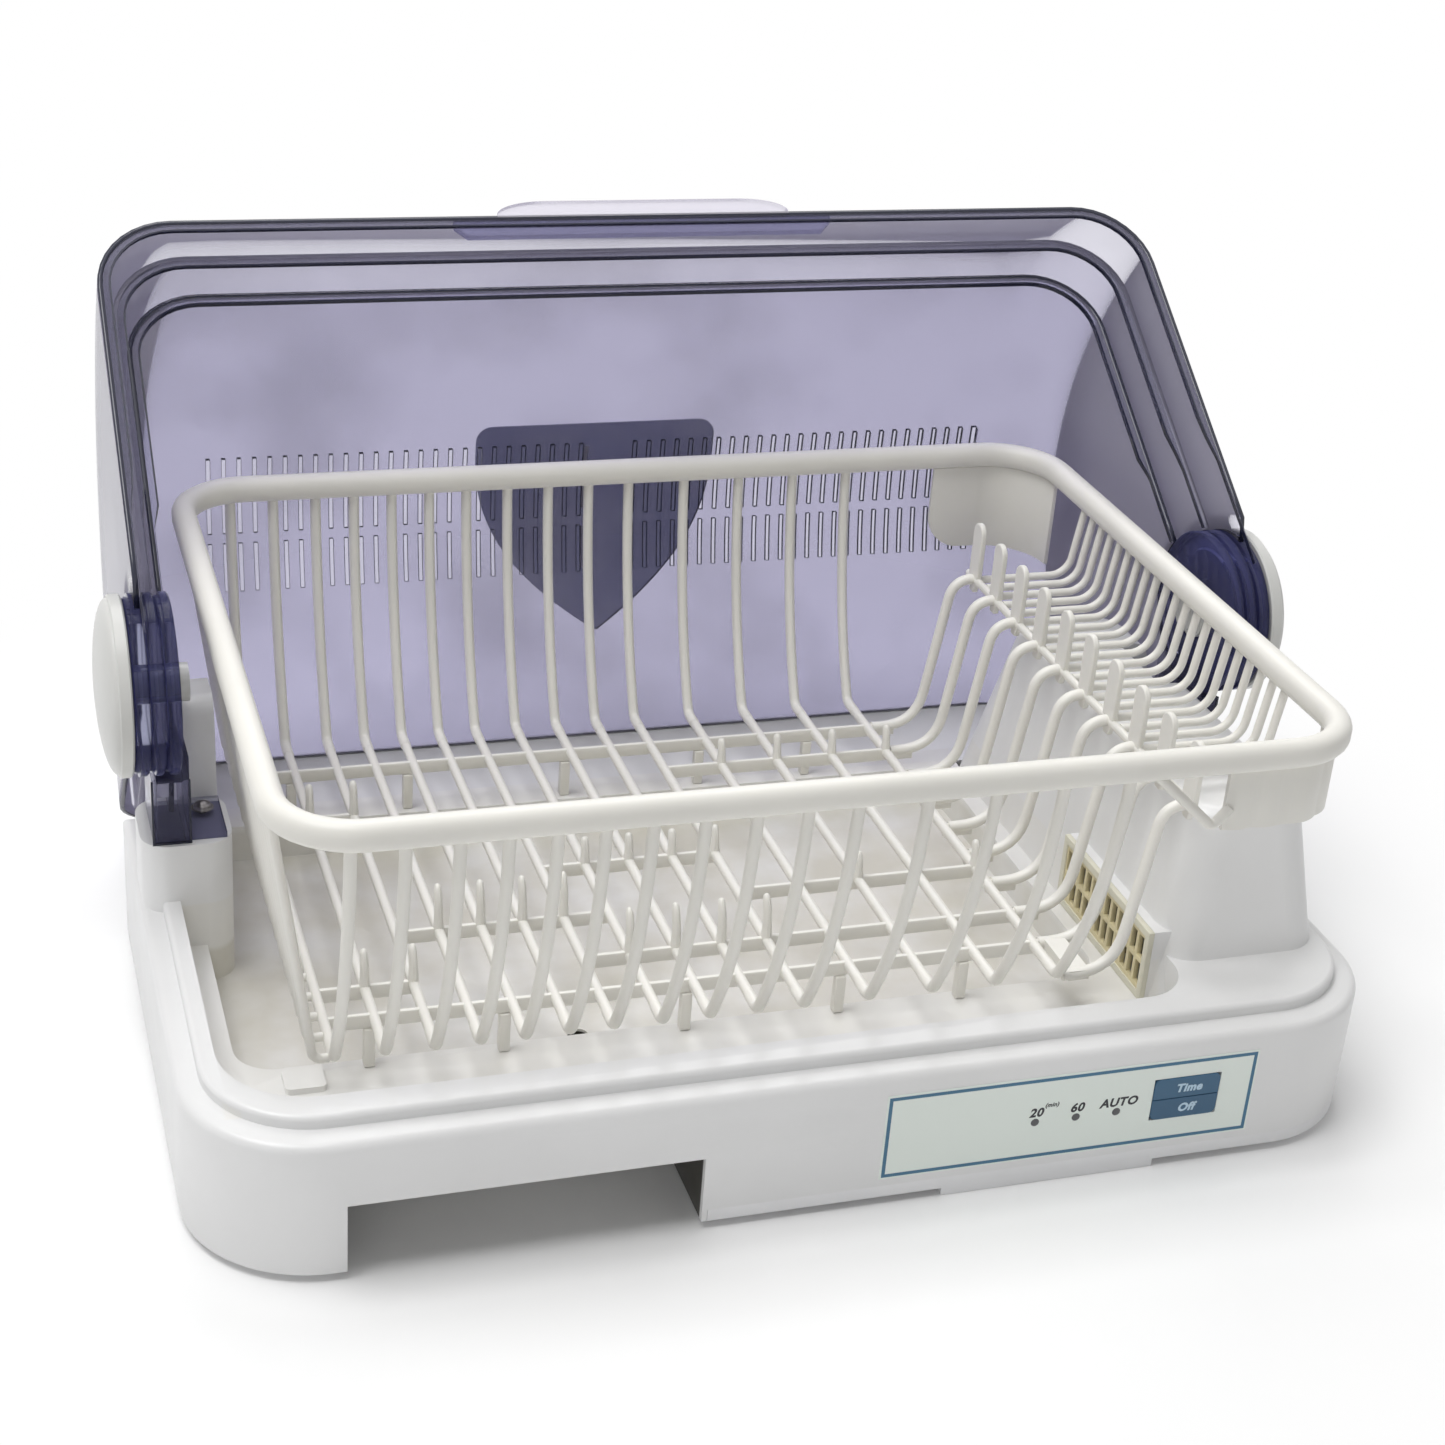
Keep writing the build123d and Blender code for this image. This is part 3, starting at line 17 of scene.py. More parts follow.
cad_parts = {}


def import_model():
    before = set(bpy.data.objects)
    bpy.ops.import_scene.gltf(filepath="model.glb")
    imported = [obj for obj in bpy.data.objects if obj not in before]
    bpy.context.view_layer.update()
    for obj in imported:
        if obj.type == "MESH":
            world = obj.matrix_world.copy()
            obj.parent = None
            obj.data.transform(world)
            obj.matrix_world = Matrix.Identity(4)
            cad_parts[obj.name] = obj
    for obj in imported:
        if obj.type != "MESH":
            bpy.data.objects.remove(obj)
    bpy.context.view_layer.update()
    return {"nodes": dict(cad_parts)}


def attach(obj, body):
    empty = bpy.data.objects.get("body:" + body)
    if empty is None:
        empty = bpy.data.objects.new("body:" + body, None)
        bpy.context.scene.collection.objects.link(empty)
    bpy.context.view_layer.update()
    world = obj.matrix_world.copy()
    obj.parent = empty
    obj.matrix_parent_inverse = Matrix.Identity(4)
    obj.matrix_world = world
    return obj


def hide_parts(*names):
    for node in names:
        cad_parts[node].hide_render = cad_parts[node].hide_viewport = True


LOG = logging.getLogger("dish_dryer")
MM = 0.001
X_AXIS, Y_AXIS, Z_AXIS = np.eye(3)
HINGE_Y = -11.5
HINGE_Z = 181.0
Array = np.ndarray


class Body(str, Enum):
    """Names of the moving bodies."""

    BASE = "base"
    BASKET = "basket"
    MIDDLE = "middle_cover_body"
    FRONT = "front_cover_body"
    IMPELLER = "impeller"
    TIME_KEY = "time_key_body"
    OFF_KEY = "off_key_body"


# Finishes


def filled(node: bpy.types.Node, values: dict[str, object]) -> bpy.types.Node:
    """The node, with values for its inputs by name."""
    for name, value in values.items():
        node.inputs[name].default_value = value
    return node


class Network:
    """Shader nodes of one material, or of the world."""

    def __init__(self, owner: bpy.types.Material | bpy.types.World) -> None:
        """Turns the owner's nodes on."""
        owner.use_nodes = True
        self.tree = owner.node_tree

    def own(self, name: str, values: dict[str, object]) -> bpy.types.Node:
        """One of the nodes that are there from the start, with values for its inputs."""
        return filled(self.tree.nodes[name], values)

    def add(self, kind: str, values: dict[str, object]) -> bpy.types.Node:
        """A new node, named by its type without ShaderNode, with values for its inputs."""
        return filled(self.tree.nodes.new("ShaderNode" + kind), values)

    def link(self, start: bpy.types.NodeSocket, end: bpy.types.NodeSocket) -> None:
        """Links an output to an input."""
        self.tree.links.new(start, end)

    def point(self) -> bpy.types.NodeSocket:
        """The object's own coordinates."""
        return self.add("TexCoord", {}).outputs["Object"]

    def noise(self, scale: float, detail: float) -> bpy.types.NodeSocket:
        """Noise over the object's own coordinates.

        Args:
            scale: Cycles of the noise per metre.
            detail: Octaves.

        Returns:
            The noise's factor.
        """
        noise = self.add("TexNoise", {"Scale": scale, "Detail": detail})
        self.link(self.point(), noise.inputs["Vector"])
        return noise.outputs["Fac"]

    def ramp(self, value: bpy.types.NodeSocket, low: float = 0.0, high: float = 1.0,
             bottom: float = 0.0, top: float = 1.0) -> bpy.types.NodeSocket:
        """Maps a value linearly from low..high onto bottom..top.

        Args:
            value: The value to map.
            low: Value that gives bottom.
            high: Value that gives top.
            bottom: The least that comes out.
            top: The most that comes out.

        Returns:
            The mapped value's socket.
        """
        node = self.add("MapRange", {"From Min": low, "From Max": high, "To Min": bottom,
                                     "To Max": top})
        self.link(value, node.inputs["Value"])
        return node.outputs["Result"]

    def combine(self, operation: str, first: bpy.types.NodeSocket, second: bpy.types.NodeSocket,
                clamp: bool = False) -> bpy.types.NodeSocket:
        """Result of a Math node on two sockets.

        Args:
            operation: The Math node's operation.
            first: Its first input.
            second: Its second input.
            clamp: Whether the result stays within 0 and 1.

        Returns:
            The result's socket.
        """
        node = self.add("Math", {})
        node.operation = operation
        node.use_clamp = clamp
        self.link(first, node.inputs[0])
        self.link(second, node.inputs[1])
        return node.outputs[0]

    def mix(self, factor: bpy.types.NodeSocket, first: object,
            second: tuple[float, float, float]) -> bpy.types.NodeSocket:
        """Mixes a colour or a colour socket with a second colour.

        Args:
            factor: Share of the second colour.
            first: A colour, or a socket that gives one.
            second: The other colour.

        Returns:
            The mixed colour's socket.
        """
        mix = self.add("Mix", {})
        mix.data_type = "RGBA"
        self.link(factor, mix.inputs["Factor"])
        if isinstance(first, bpy.types.NodeSocket):
            self.link(first, mix.inputs["A"])
        else:
            mix.inputs["A"].default_value = (*first, 1.0)
        mix.inputs["B"].default_value = (*second, 1.0)
        return mix.outputs["Result"]

    def blend(self, share: bpy.types.NodeSocket, first: bpy.types.Node,
              second: bpy.types.Node) -> None:
        """Sends a mix of two shaders to the output.

        Args:
            share: Share of the second shader.
            first: The first shader.
            second: The second shader.
        """
        mix = self.add("MixShader", {})
        for source, place in ((share, 0), (first.outputs[0], 1), (second.outputs[0], 2)):
            self.link(source, mix.inputs[place])
        self.link(mix.outputs[0], self.tree.nodes["Material Output"].inputs["Surface"])


@dataclass(frozen=True)
class Zone:
    """Box in a piece's own metres that is painted another colour, with soft sides; used for stains
    and for painted shade.
    """

    low: tuple[float, float, float]
    high: tuple[float, float, float]
    colour: tuple[float, float, float]
    share: float = 1.0
    patchy: float = 0.0
    soft: float = 0.0015

    def inside(self, net: Network) -> bpy.types.NodeSocket:
        """Share of the zone's colour: the product of a ramp at each of its six sides.

        Args:
            net: The material's nodes.

        Returns:
            The share's socket.
        """
        parts = net.add("SeparateXYZ", {})
        net.link(net.point(), parts.inputs[0])
        share = net.ramp(net.noise(22.0, 4.0), 0.35, 0.65)
        share = net.ramp(share, bottom=self.share * (1.0 - self.patchy), top=self.share)
        for axis in range(3):
            for edge, inner in ((self.low[axis], self.low[axis] + self.soft),
                                (self.high[axis], self.high[axis] - self.soft)):
                side = net.ramp(parts.outputs[axis], edge, inner)
                share = net.combine("MULTIPLY", share, side)
        return share


@dataclass(frozen=True)
class Finish:
    """Moulded or metal surface with a fine mottle in its colour and a fine bump.

    The colour at a point is base * (1 - mottle * noise), with a stain and zones of stain and
    painted shade laid over it, and the bump height is a second noise.
    """

    name: str
    colour: tuple[float, float, float]
    roughness: float = 0.4
    metallic: float = 0.0
    mottle: float = 0.05
    mottle_scale: float = 14.0
    grain: float = 0.04
    grain_scale: float = 900.0
    coat: float = 0.0
    stain: tuple[float, float, float] | None = None
    stain_scale: float = 6.0
    stain_share: float = 0.3
    subsurface: float = 0.0
    zones: tuple[Zone, ...] = ()

    def make(self) -> bpy.types.Material:
        """Builds the material, or returns the one already built.

        Returns:
            The Blender material.
        """
        done = bpy.data.materials.get(self.name)
        if done is not None:
            return done
        mat = bpy.data.materials.new(self.name)
        net = Network(mat)
        shader = net.own("Principled BSDF", {
            "Metallic": self.metallic, "Coat Weight": self.coat, "Coat Roughness": 0.12,
            "Subsurface Weight": self.subsurface, "Subsurface Radius": (0.004, 0.004, 0.003)})
        rough = net.ramp(net.noise(self.mottle_scale * 4.0, 3.0), bottom=self.roughness * 0.8,
                         top=min(1.0, self.roughness * 1.2))
        bump = net.add("Bump", {"Strength": self.grain, "Distance": 0.0004})
        net.link(net.noise(self.grain_scale, 4.0), bump.inputs["Height"])
        for source, name in ((self._colour(net), "Base Color"), (rough, "Roughness"),
                             (bump.outputs["Normal"], "Normal")):
            net.link(source, shader.inputs[name])
        mat.diffuse_color = (*self.colour, 1.0)
        return mat

    def _colour(self, net: Network) -> bpy.types.NodeSocket:
        """Base colour with its mottle, its stain if it has one, and its zones."""
        darker = tuple(c * (1.0 - self.mottle) for c in self.colour)
        mottle = net.ramp(net.noise(self.mottle_scale, 5.0), 0.35, 0.7)
        colour = net.mix(mottle, self.colour, darker)
        if self.stain is not None:
            cloud = net.ramp(net.noise(self.stain_scale, 3.0), 0.5, 0.75, top=self.stain_share)
            colour = net.mix(cloud, colour, self.stain)
        for zone in self.zones:
            colour = net.mix(zone.inside(net), colour, zone.colour)
        return colour


@dataclass(frozen=True)
class TintFinish:
    """Tinted clear plastic: it lets light through with a tint and adds a little haze and gloss.

    The share that doesn't pass is fresnel + haze + cloud * noise.
    """

    name: str
    through: tuple[float, float, float]
    body: tuple[float, float, float]
    haze: float
    cloud: float = 0.0
    roughness: float = 0.14
    index: float = 1.25

    def make(self) -> bpy.types.Material:
        """Builds the material, or returns the one already built.

        Returns:
            The Blender material.
        """
        done = bpy.data.materials.get(self.name)
        if done is not None:
            return done
        mat = bpy.data.materials.new(self.name)
        net = Network(mat)
        shader = net.own("Principled BSDF", {"Base Color": (*self.body, 1.0),
                                             "Roughness": self.roughness})
        clear = net.add("BsdfTransparent", {"Color": (*self.through, 1.0)})
        glance = net.add("Fresnel", {"IOR": self.index})
        cloud = net.ramp(net.noise(9.0, 6.0), 0.45, 0.8, self.haze, self.haze + self.cloud)
        net.blend(net.combine("ADD", cloud, glance.outputs["Fac"], clamp=True), clear, shader)
        mat.diffuse_color = (*self.through, 0.4)
        return mat


WHITE = Finish("cool_white_plastic", (0.80, 0.80, 0.81), 0.38, mottle=0.04, coat=0.12,
               stain=(0.70, 0.69, 0.66), stain_share=0.18)
HOUSING = Finish("housing_white_plastic", (0.80, 0.80, 0.80), 0.38, mottle=0.04, coat=0.12,
                 stain=(0.70, 0.69, 0.66), stain_share=0.18,
                 # Tray well: warmer and darker, partly real stains and partly painted shade.
                 zones=(Zone((-0.2635, -0.198, 0.0265), (0.1835, 0.104, 0.0735),
                             (0.78, 0.76, 0.70), 0.5, patchy=0.5),
                        # Deep floor of the well under the basket: darker in patches, painted shade
                        # between the ribs with some real stains.
                        Zone((-0.252, -0.139, 0.0265), (0.170, 0.082, 0.0485),
                             (0.54, 0.51, 0.42), 0.6, patchy=0.8, soft=0.003),
                        # Inside of the drip slot, painted near black: painted shade of the deep
                        # recess.
                        Zone((-0.2175, -0.2215, 0.002), (-0.0592, -0.1985, 0.0400),
                             (0.040, 0.037, 0.028), 1.0, soft=0.0005),
                        Zone((-0.2175, -0.2005, 0.002), (-0.0592, -0.085, 0.0289),
                             (0.040, 0.037, 0.028), 1.0, soft=0.0005)))
WARM = Finish("warm_white_plastic", (0.80, 0.785, 0.735), 0.42, mottle=0.05, subsurface=0.05)
IVORY = Finish("ivory_plastic", (0.62, 0.62, 0.60), 0.35, coat=0.1)
CREAM = Finish("cream_plastic", (0.71, 0.69, 0.57), 0.42, mottle=0.06)
BEIGE = Finish("aged_beige_plastic", (0.72, 0.64, 0.40), 0.5, mottle=0.12)
TINT = TintFinish("violet_tinted_plastic", (0.884, 0.879, 0.922), (0.62, 0.61, 0.68), 0.02,
                  cloud=0.12, index=1.18)
TINT_RIM = TintFinish("violet_plastic_rim", (0.83, 0.83, 0.87), (0.55, 0.55, 0.62), 0.04,
                      index=1.12)
# Near-black edge of the tinted plastic: painted shade standing in for the internal reflection along
# its edges.
TINT_PAINTED_DARK_EDGE = Finish("violet_plastic_painted_dark_edge", (0.012, 0.014, 0.035), 0.2, mottle=0.1, grain=0.01)
TINT_BAND = TintFinish("violet_plastic_band", (0.80, 0.80, 0.90), (0.34, 0.33, 0.52), 0.30)
TINT_LIP = TintFinish("violet_plastic_lip", (0.95, 0.94, 0.97), (0.80, 0.78, 0.86), 0.35)
TINT_LEG = TintFinish("violet_plastic_leg", (0.86, 0.86, 0.91), (0.24, 0.24, 0.34), 0.10,
                      index=1.2)
TINT_HUB = TintFinish("violet_plastic_hub", (0.80, 0.81, 0.93), (0.13, 0.135, 0.30), 0.16,
                      roughness=0.06, index=1.5)
TINT_GRIP = TintFinish("violet_plastic_grip", (0.50, 0.51, 0.60), (0.07, 0.07, 0.15), 0.25)
BLUE = Finish("blue_key_plastic", (0.040, 0.122, 0.218), 0.4, mottle=0.05)
# Same blue plastic as the Time key, a little darker: painted shade on the Off key.
BLUE_PAINTED_SHADE = Finish("blue_key_plastic_painted_shade", (0.034, 0.107, 0.197), 0.4, mottle=0.05)
PRINT_BLUE = Finish("blue_print", (0.055, 0.17, 0.28), 0.5, mottle=0.08, grain=0.02)
PRINT_BLACK = Finish("black_print", (0.03, 0.03, 0.035), 0.55, mottle=0.1, grain=0.02)
PRINT_PALE = Finish("pale_print", (0.50, 0.66, 0.78), 0.5, mottle=0.05, grain=0.02)
LENS_DARK = Finish("dark_lens_plastic", (0.07, 0.07, 0.075), 0.15, mottle=0.1, coat=0.4)
PANEL = Finish("control_film", (0.80, 0.86, 0.81), 0.45, mottle=0.02, grain=0.02)
CLEAR = Finish("clear_lens_plastic", (0.1, 0.1, 0.1), 0.2)
BOARD = Finish("green_board", (0.02, 0.12, 0.05), 0.5)
BLACK = Finish("black_plastic", (0.02, 0.02, 0.022), 0.5, mottle=0.2)
RUBBER = Finish("dark_rubber_skin", (0.025, 0.025, 0.027), 0.75, mottle=0.2)
SCREW = Finish("dark_screw_steel", (0.2, 0.19, 0.19), 0.3, metallic=1.0, mottle=0.2)
SHEET = Finish("zinc_sheet", (0.55, 0.56, 0.58), 0.35, metallic=1.0, mottle=0.15)
MOTOR = Finish("motor_steel_skin", (0.42, 0.43, 0.45), 0.45, metallic=1.0, mottle=0.2)
MICA = Finish("mica_board", (0.42, 0.33, 0.18), 0.6, mottle=0.25)
WIRE = Finish("resistance_wire", (0.33, 0.3, 0.28), 0.45, metallic=1.0)


def placed(name: str, data: bpy.types.ID) -> bpy.types.Object:
    """A new object of the data, in the scene."""
    obj = bpy.data.objects.new(name, data)
    bpy.context.scene.collection.objects.link(obj)
    return obj


def paint(obj: bpy.types.Object, finish: Finish | TintFinish) -> None:
    """Gives the object one finish."""
    obj.data.materials.clear()
    obj.data.materials.append(finish.make())


def bevelled(obj: bpy.types.Object, width: float, angle: float = 50.0) -> None:
    """Rounds the edges over an angle in degrees, by a width in millimetres."""
    bevel = obj.modifiers.new("bevel", "BEVEL")
    bevel.width = width * MM
    bevel.segments = 2
    bevel.limit_method = "ANGLE"
    bevel.angle_limit = math.radians(angle)


def soften(obj: bpy.types.Object, width: float, sharp: float = 32.0) -> None:
    """Rounds a CAD node's sharp edges and smooths its curved faces.

    Args:
        obj: The CAD node's object.
        width: Width of the rounding in millimetres, or 0 for none.
        sharp: Angle in degrees above which an edge is sharp.
    """
    weld = obj.modifiers.new("weld", "WELD")
    weld.merge_threshold = 1e-6
    flat = obj.modifiers.new("flat", "DECIMATE")
    flat.decimate_type = "DISSOLVE"
    flat.angle_limit = math.radians(0.4)
    if width > 0:
        bevelled(obj, width, sharp)
    split = obj.modifiers.new("split", "EDGE_SPLIT")
    split.split_angle = math.radians(sharp)
    split.use_edge_sharp = False
    obj.data.polygons.foreach_set("use_smooth", np.ones(len(obj.data.polygons), bool))


@dataclass
class CadSkin:
    """Finishes of the CAD nodes that show as they are."""

    finishes: dict[str, Finish | TintFinish] = field(default_factory=lambda: {
        "base_housing": HOUSING, "bottom_plate": WHITE, "rubber_feet": RUBBER,
        "plate_screws": SCREW, "outlet_frame": CREAM, "outlet_grille": BEIGE,
        "control_panel": PANEL, "control_board": BOARD, "board_posts": WHITE,
        "board_parts": BLACK, "key_switches": BLACK, "indicator_lenses": CLEAR,
        "time_key": BLUE, "off_key": BLUE, "fan_scroll": SHEET, "fan_impeller": BLACK,
        "fan_motor": MOTOR, "motor_bracket": SHEET, "heater_frame": MICA, "heater_wires": WIRE,
        "thermostat": MOTOR, "thermal_fuse": MICA, "flex_gland": RUBBER, "rear_cover": TINT,
        "rear_cover_screws": SCREW, "middle_cover": TINT, "front_cover": TINT,
        "cover_grip": TINT_GRIP, "hinge_cap_right": IVORY, "hinge_cap_left": IVORY,
        "hinge_clip_right": IVORY, "hinge_clip_left": IVORY})
    rounded: dict[str, float] = field(default_factory=lambda: {
        "base_housing": 0.8, "bottom_plate": 0.6, "front_corner_panel": 0.6,
        "back_corner_panel": 0.6, "outlet_frame": 0.4, "outlet_grille": 0.2, "time_key": 0.5,
        "off_key": 0.5, "plate_prongs": 0.6, "basket_floor": 0.5, "basket_pegs": 0.5,
        "cup_shelf_edge": 0.6, "hinge_clip_right": 0.4, "hinge_clip_left": 0.4})

    def dress(self, nodes: dict[str, bpy.types.Object]) -> None:
        """Paints every CAD node and rounds those that show.

        Args:
            nodes: The frame's CAD nodes by name.
        """
        for name, obj in nodes.items():
            paint(obj, self.finishes.get(name, WARM))
            soften(obj, self.rounded.get(name, 0.0))
        LOG.info("cad skin: %d nodes", len(nodes))


# Surfaces


def unit(vectors: Array) -> Array:
    """Vectors scaled to length 1 along their last axis."""
    return vectors / np.linalg.norm(vectors, axis=-1, keepdims=True)


def bowed(start: Array, middle: Array, end: Array, t: Array) -> Array:
    """Points (1-t)^2 S + 2 t (1-t) M + t^2 E of a bowed line."""
    return (1 - t) ** 2 * start + 2 * t * (1 - t) * middle + t ** 2 * end


def bent_path(points: Array, reach: float | Array, steps: int = 7) -> Array:
    """Broken line with its corners rounded.

    It is bowed between S, a distance reach before a corner, and E, as far after it.

    Args:
        points: Corners of the line, shape (n, 3).
        reach: How far each rounding reaches along its two runs, or one value for each corner.
        steps: Points in each rounding.

    Returns:
        Points of the path, shape (m, 3).
    """
    corner, before, after = points[1:-1], points[:-2], points[2:]
    reach = np.broadcast_to(np.asarray(reach, float).reshape(-1, 1), (len(corner), 1))
    start = corner + unit(before - corner) * reach
    end = corner + unit(after - corner) * reach
    t = np.linspace(0.0, 1.0, steps)[None, :, None]
    arcs = bowed(start[:, None], corner[:, None], end[:, None], t)
    return np.vstack([points[:1], arcs.reshape(-1, 3), points[-1:]])


def loop_path(half_x: float, half_y: float, corner: float, middle_y: float, z: float,
              steps: int = 10) -> Array:
    """Closed rounded rectangle at one height.

    A corner's point at angle a is (cx + corner cos a, cy + corner sin a).

    Args:
        half_x: Half the width.
        half_y: Half the depth.
        corner: Radius of the corners.
        middle_y: Y of the middle.
        z: Height.
        steps: Points in each corner.

    Returns:
        Points, anticlockwise from above, shape (4 * steps, 3).
    """
    a = (np.linspace(0, math.pi / 2, steps)[None] + np.arange(4)[:, None] * math.pi / 2)
    sign_x = np.array([1, -1, -1, 1])[:, None]
    sign_y = np.array([1, 1, -1, -1])[:, None]
    x = sign_x * (half_x - corner) + corner * np.cos(a)
    y = middle_y + sign_y * (half_y - corner) + corner * np.sin(a)
    return np.stack([x.ravel(), y.ravel(), np.full(x.size, z)], axis=1)


def round_section(radius: float, sides: int = 12, squash: float = 1.0) -> Array:
    """Ellipse (radius cos a, squash radius sin a)."""
    a = np.linspace(0, 2 * math.pi, sides, endpoint=False)
    return np.stack([radius * np.cos(a), squash * radius * np.sin(a)], axis=1)


def box_section(width: float, height: float, corner: float, steps: int = 3) -> Array:
    """Rounded rectangle about the origin, anticlockwise."""
    loop = loop_path(width / 2, height / 2, corner, 0.0, 0.0, steps)
    return loop[:, :2]


def carried(path: Array, section: Array, normal: Array, scale: Array | None = None,
            closed: bool = False) -> Array:
    """Carries a section along a path that lies in one plane.

    Point (i, j) is path_i + scale_i (s_j n + q_j (t_i x n)), where n is the plane's normal, t_i
    the path's direction and (s_j, q_j) the section's point.

    Args:
        path: Points of the path, shape (m, 3).
        section: Points of the section, shape (k, 2).
        normal: The plane's normal.
        scale: Size of the section at each point of the path.
        closed: Whether the path is a loop.

    Returns:
        Grid of points, shape (m, k, 3).
    """
    if closed:
        ahead = np.roll(path, -1, axis=0) - np.roll(path, 1, axis=0)
    else:
        ahead = np.gradient(path, axis=0)
    n = unit(np.asarray(normal, float))
    side = np.cross(unit(ahead), n)
    size = np.ones(len(path)) if scale is None else scale
    offset = section[None, :, :1] * n[None, None] + section[None, :, 1:] * side[:, None]
    return path[:, None] + size[:, None, None] * offset


class Pile:
    """Grids of points gathered into one mesh."""

    def __init__(self) -> None:
        """Starts with no points."""
        self.points: list[Array] = []
        self.faces: list[tuple[int, ...]] = []
        self.slots: list[int] = []
        self.count = 0

    def add(self, grid: Array, wrap_u: bool = False, wrap_v: bool = True, caps: bool = True,
            slot: int = 0, keep: Array | None = None) -> None:
        """Adds a grid as quads, with flat caps on its two ends if it is a tube.

        Args:
            grid: Points, shape (m, k, 3).
            wrap_u: Whether the last row joins the first.
            wrap_v: Whether the last column joins the first.
            caps: Whether the first and last rows are closed by a face.
            slot: Material slot of its faces.
            keep: Which cells become faces, shape of the cells, or None for all.
        """
        rows, cols = grid.shape[:2]
        i = np.arange(rows if wrap_u else rows - 1)
        j = np.arange(cols if wrap_v else cols - 1)
        i, j = np.meshgrid(i, j, indexing="ij")
        if keep is not None:
            i, j = i[keep], j[keep]
        up, along = (i + 1) % rows, (j + 1) % cols
        quads = np.stack([i * cols + j, i * cols + along, up * cols + along, up * cols + j], -1)
        quads = quads.reshape(-1, 4) + self.count
        self.faces.extend(map(tuple, quads.tolist()))
        self.slots.extend([slot] * len(quads))
        if caps and wrap_v and not wrap_u:
            first = (np.arange(cols)[::-1] + self.count).tolist()
            last = (np.arange(cols) + (rows - 1) * cols + self.count).tolist()
            self.faces.extend([tuple(first), tuple(last)])
            self.slots.extend([slot] * 2)
        self.points.append(grid.reshape(-1, 3))
        self.count += rows * cols

    def slab(self, low: tuple[float, float, float], high: tuple[float, float, float],
             slot: int = 0) -> None:
        """Adds a plain box between two corners."""
        (x0, y0, z0), (x1, y1, z1) = low, high
        ring = np.array([[x0, y0], [x1, y0], [x1, y1], [x0, y1]])
        grid = np.stack([np.column_stack([ring, np.full(4, z)]) for z in (z0, z1)])
        self.add(grid, slot=slot)

    def plate(self, outline: Array, axis: int, start: float, end: float, slot: int = 0) -> None:
        """Adds a flat plate: an outline in the other two axes, carried along one axis.

        Args:
            outline: Corners of a convex outline, shape (k, 2).
            axis: The axis that the plate's thickness runs along.
            start: Where it starts on that axis.
            end: Where it ends.
            slot: Material slot of its faces.
        """
        rows = [np.insert(outline, axis, level, axis=1) for level in (start, end)]
        self.add(np.stack(rows), slot=slot)

    def make(self, name: str, finishes: list, body: Body,
             sharp: float = 40.0) -> bpy.types.Object:
        """Makes the mesh object, in metres, on its body.

        Args:
            name: The object's name.
            finishes: One finish for each material slot.
            body: The body that it rides on.
            sharp: Angle in degrees above which an edge is shaded sharp.

        Returns:
            The object.
        """
        points = np.vstack(self.points) + np.array([0.0, HINGE_Y, 0.0])
        mesh = bpy.data.meshes.new(name)
        mesh.from_pydata((points * MM).tolist(), [], self.faces)
        for finish in finishes:
            mesh.materials.append(finish.make())
        mesh.polygons.foreach_set("material_index", np.array(self.slots, np.int32))
        mesh.validate()
        shaped = bmesh.new()
        shaped.from_mesh(mesh)
        bmesh.ops.remove_doubles(shaped, verts=shaped.verts, dist=1e-6)
        bmesh.ops.recalc_face_normals(shaped, faces=shaped.faces)
        shaped.to_mesh(mesh)
        shaped.free()
        mesh.polygons.foreach_set("use_smooth", np.ones(len(mesh.polygons), bool))
        mesh.set_sharp_from_angle(angle=math.radians(sharp))
        obj = placed(name, mesh)
        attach(obj, body.value)
        return obj


# Covers


def about_hinge(outline: Array, sign: float, steps: int) -> Array:
    """An outline (x, r) turned about the hinge line: (x, r cos a, H + r sin a).

    Args:
        outline: The outline's points, shape (m, 2).
        sign: 1 for the right side, -1 for the left.
        steps: Rows in a full turn.

    Returns:
        Points, shape (steps, m, 3).
    """
    a = np.linspace(0, 2 * math.pi, steps, endpoint=False)[:, None]
    x = np.broadcast_to(sign * outline[:, 0], (steps, len(outline)))
    return np.stack([x, outline[:, 1] * np.cos(a), HINGE_Z + outline[:, 1] * np.sin(a)], -1)


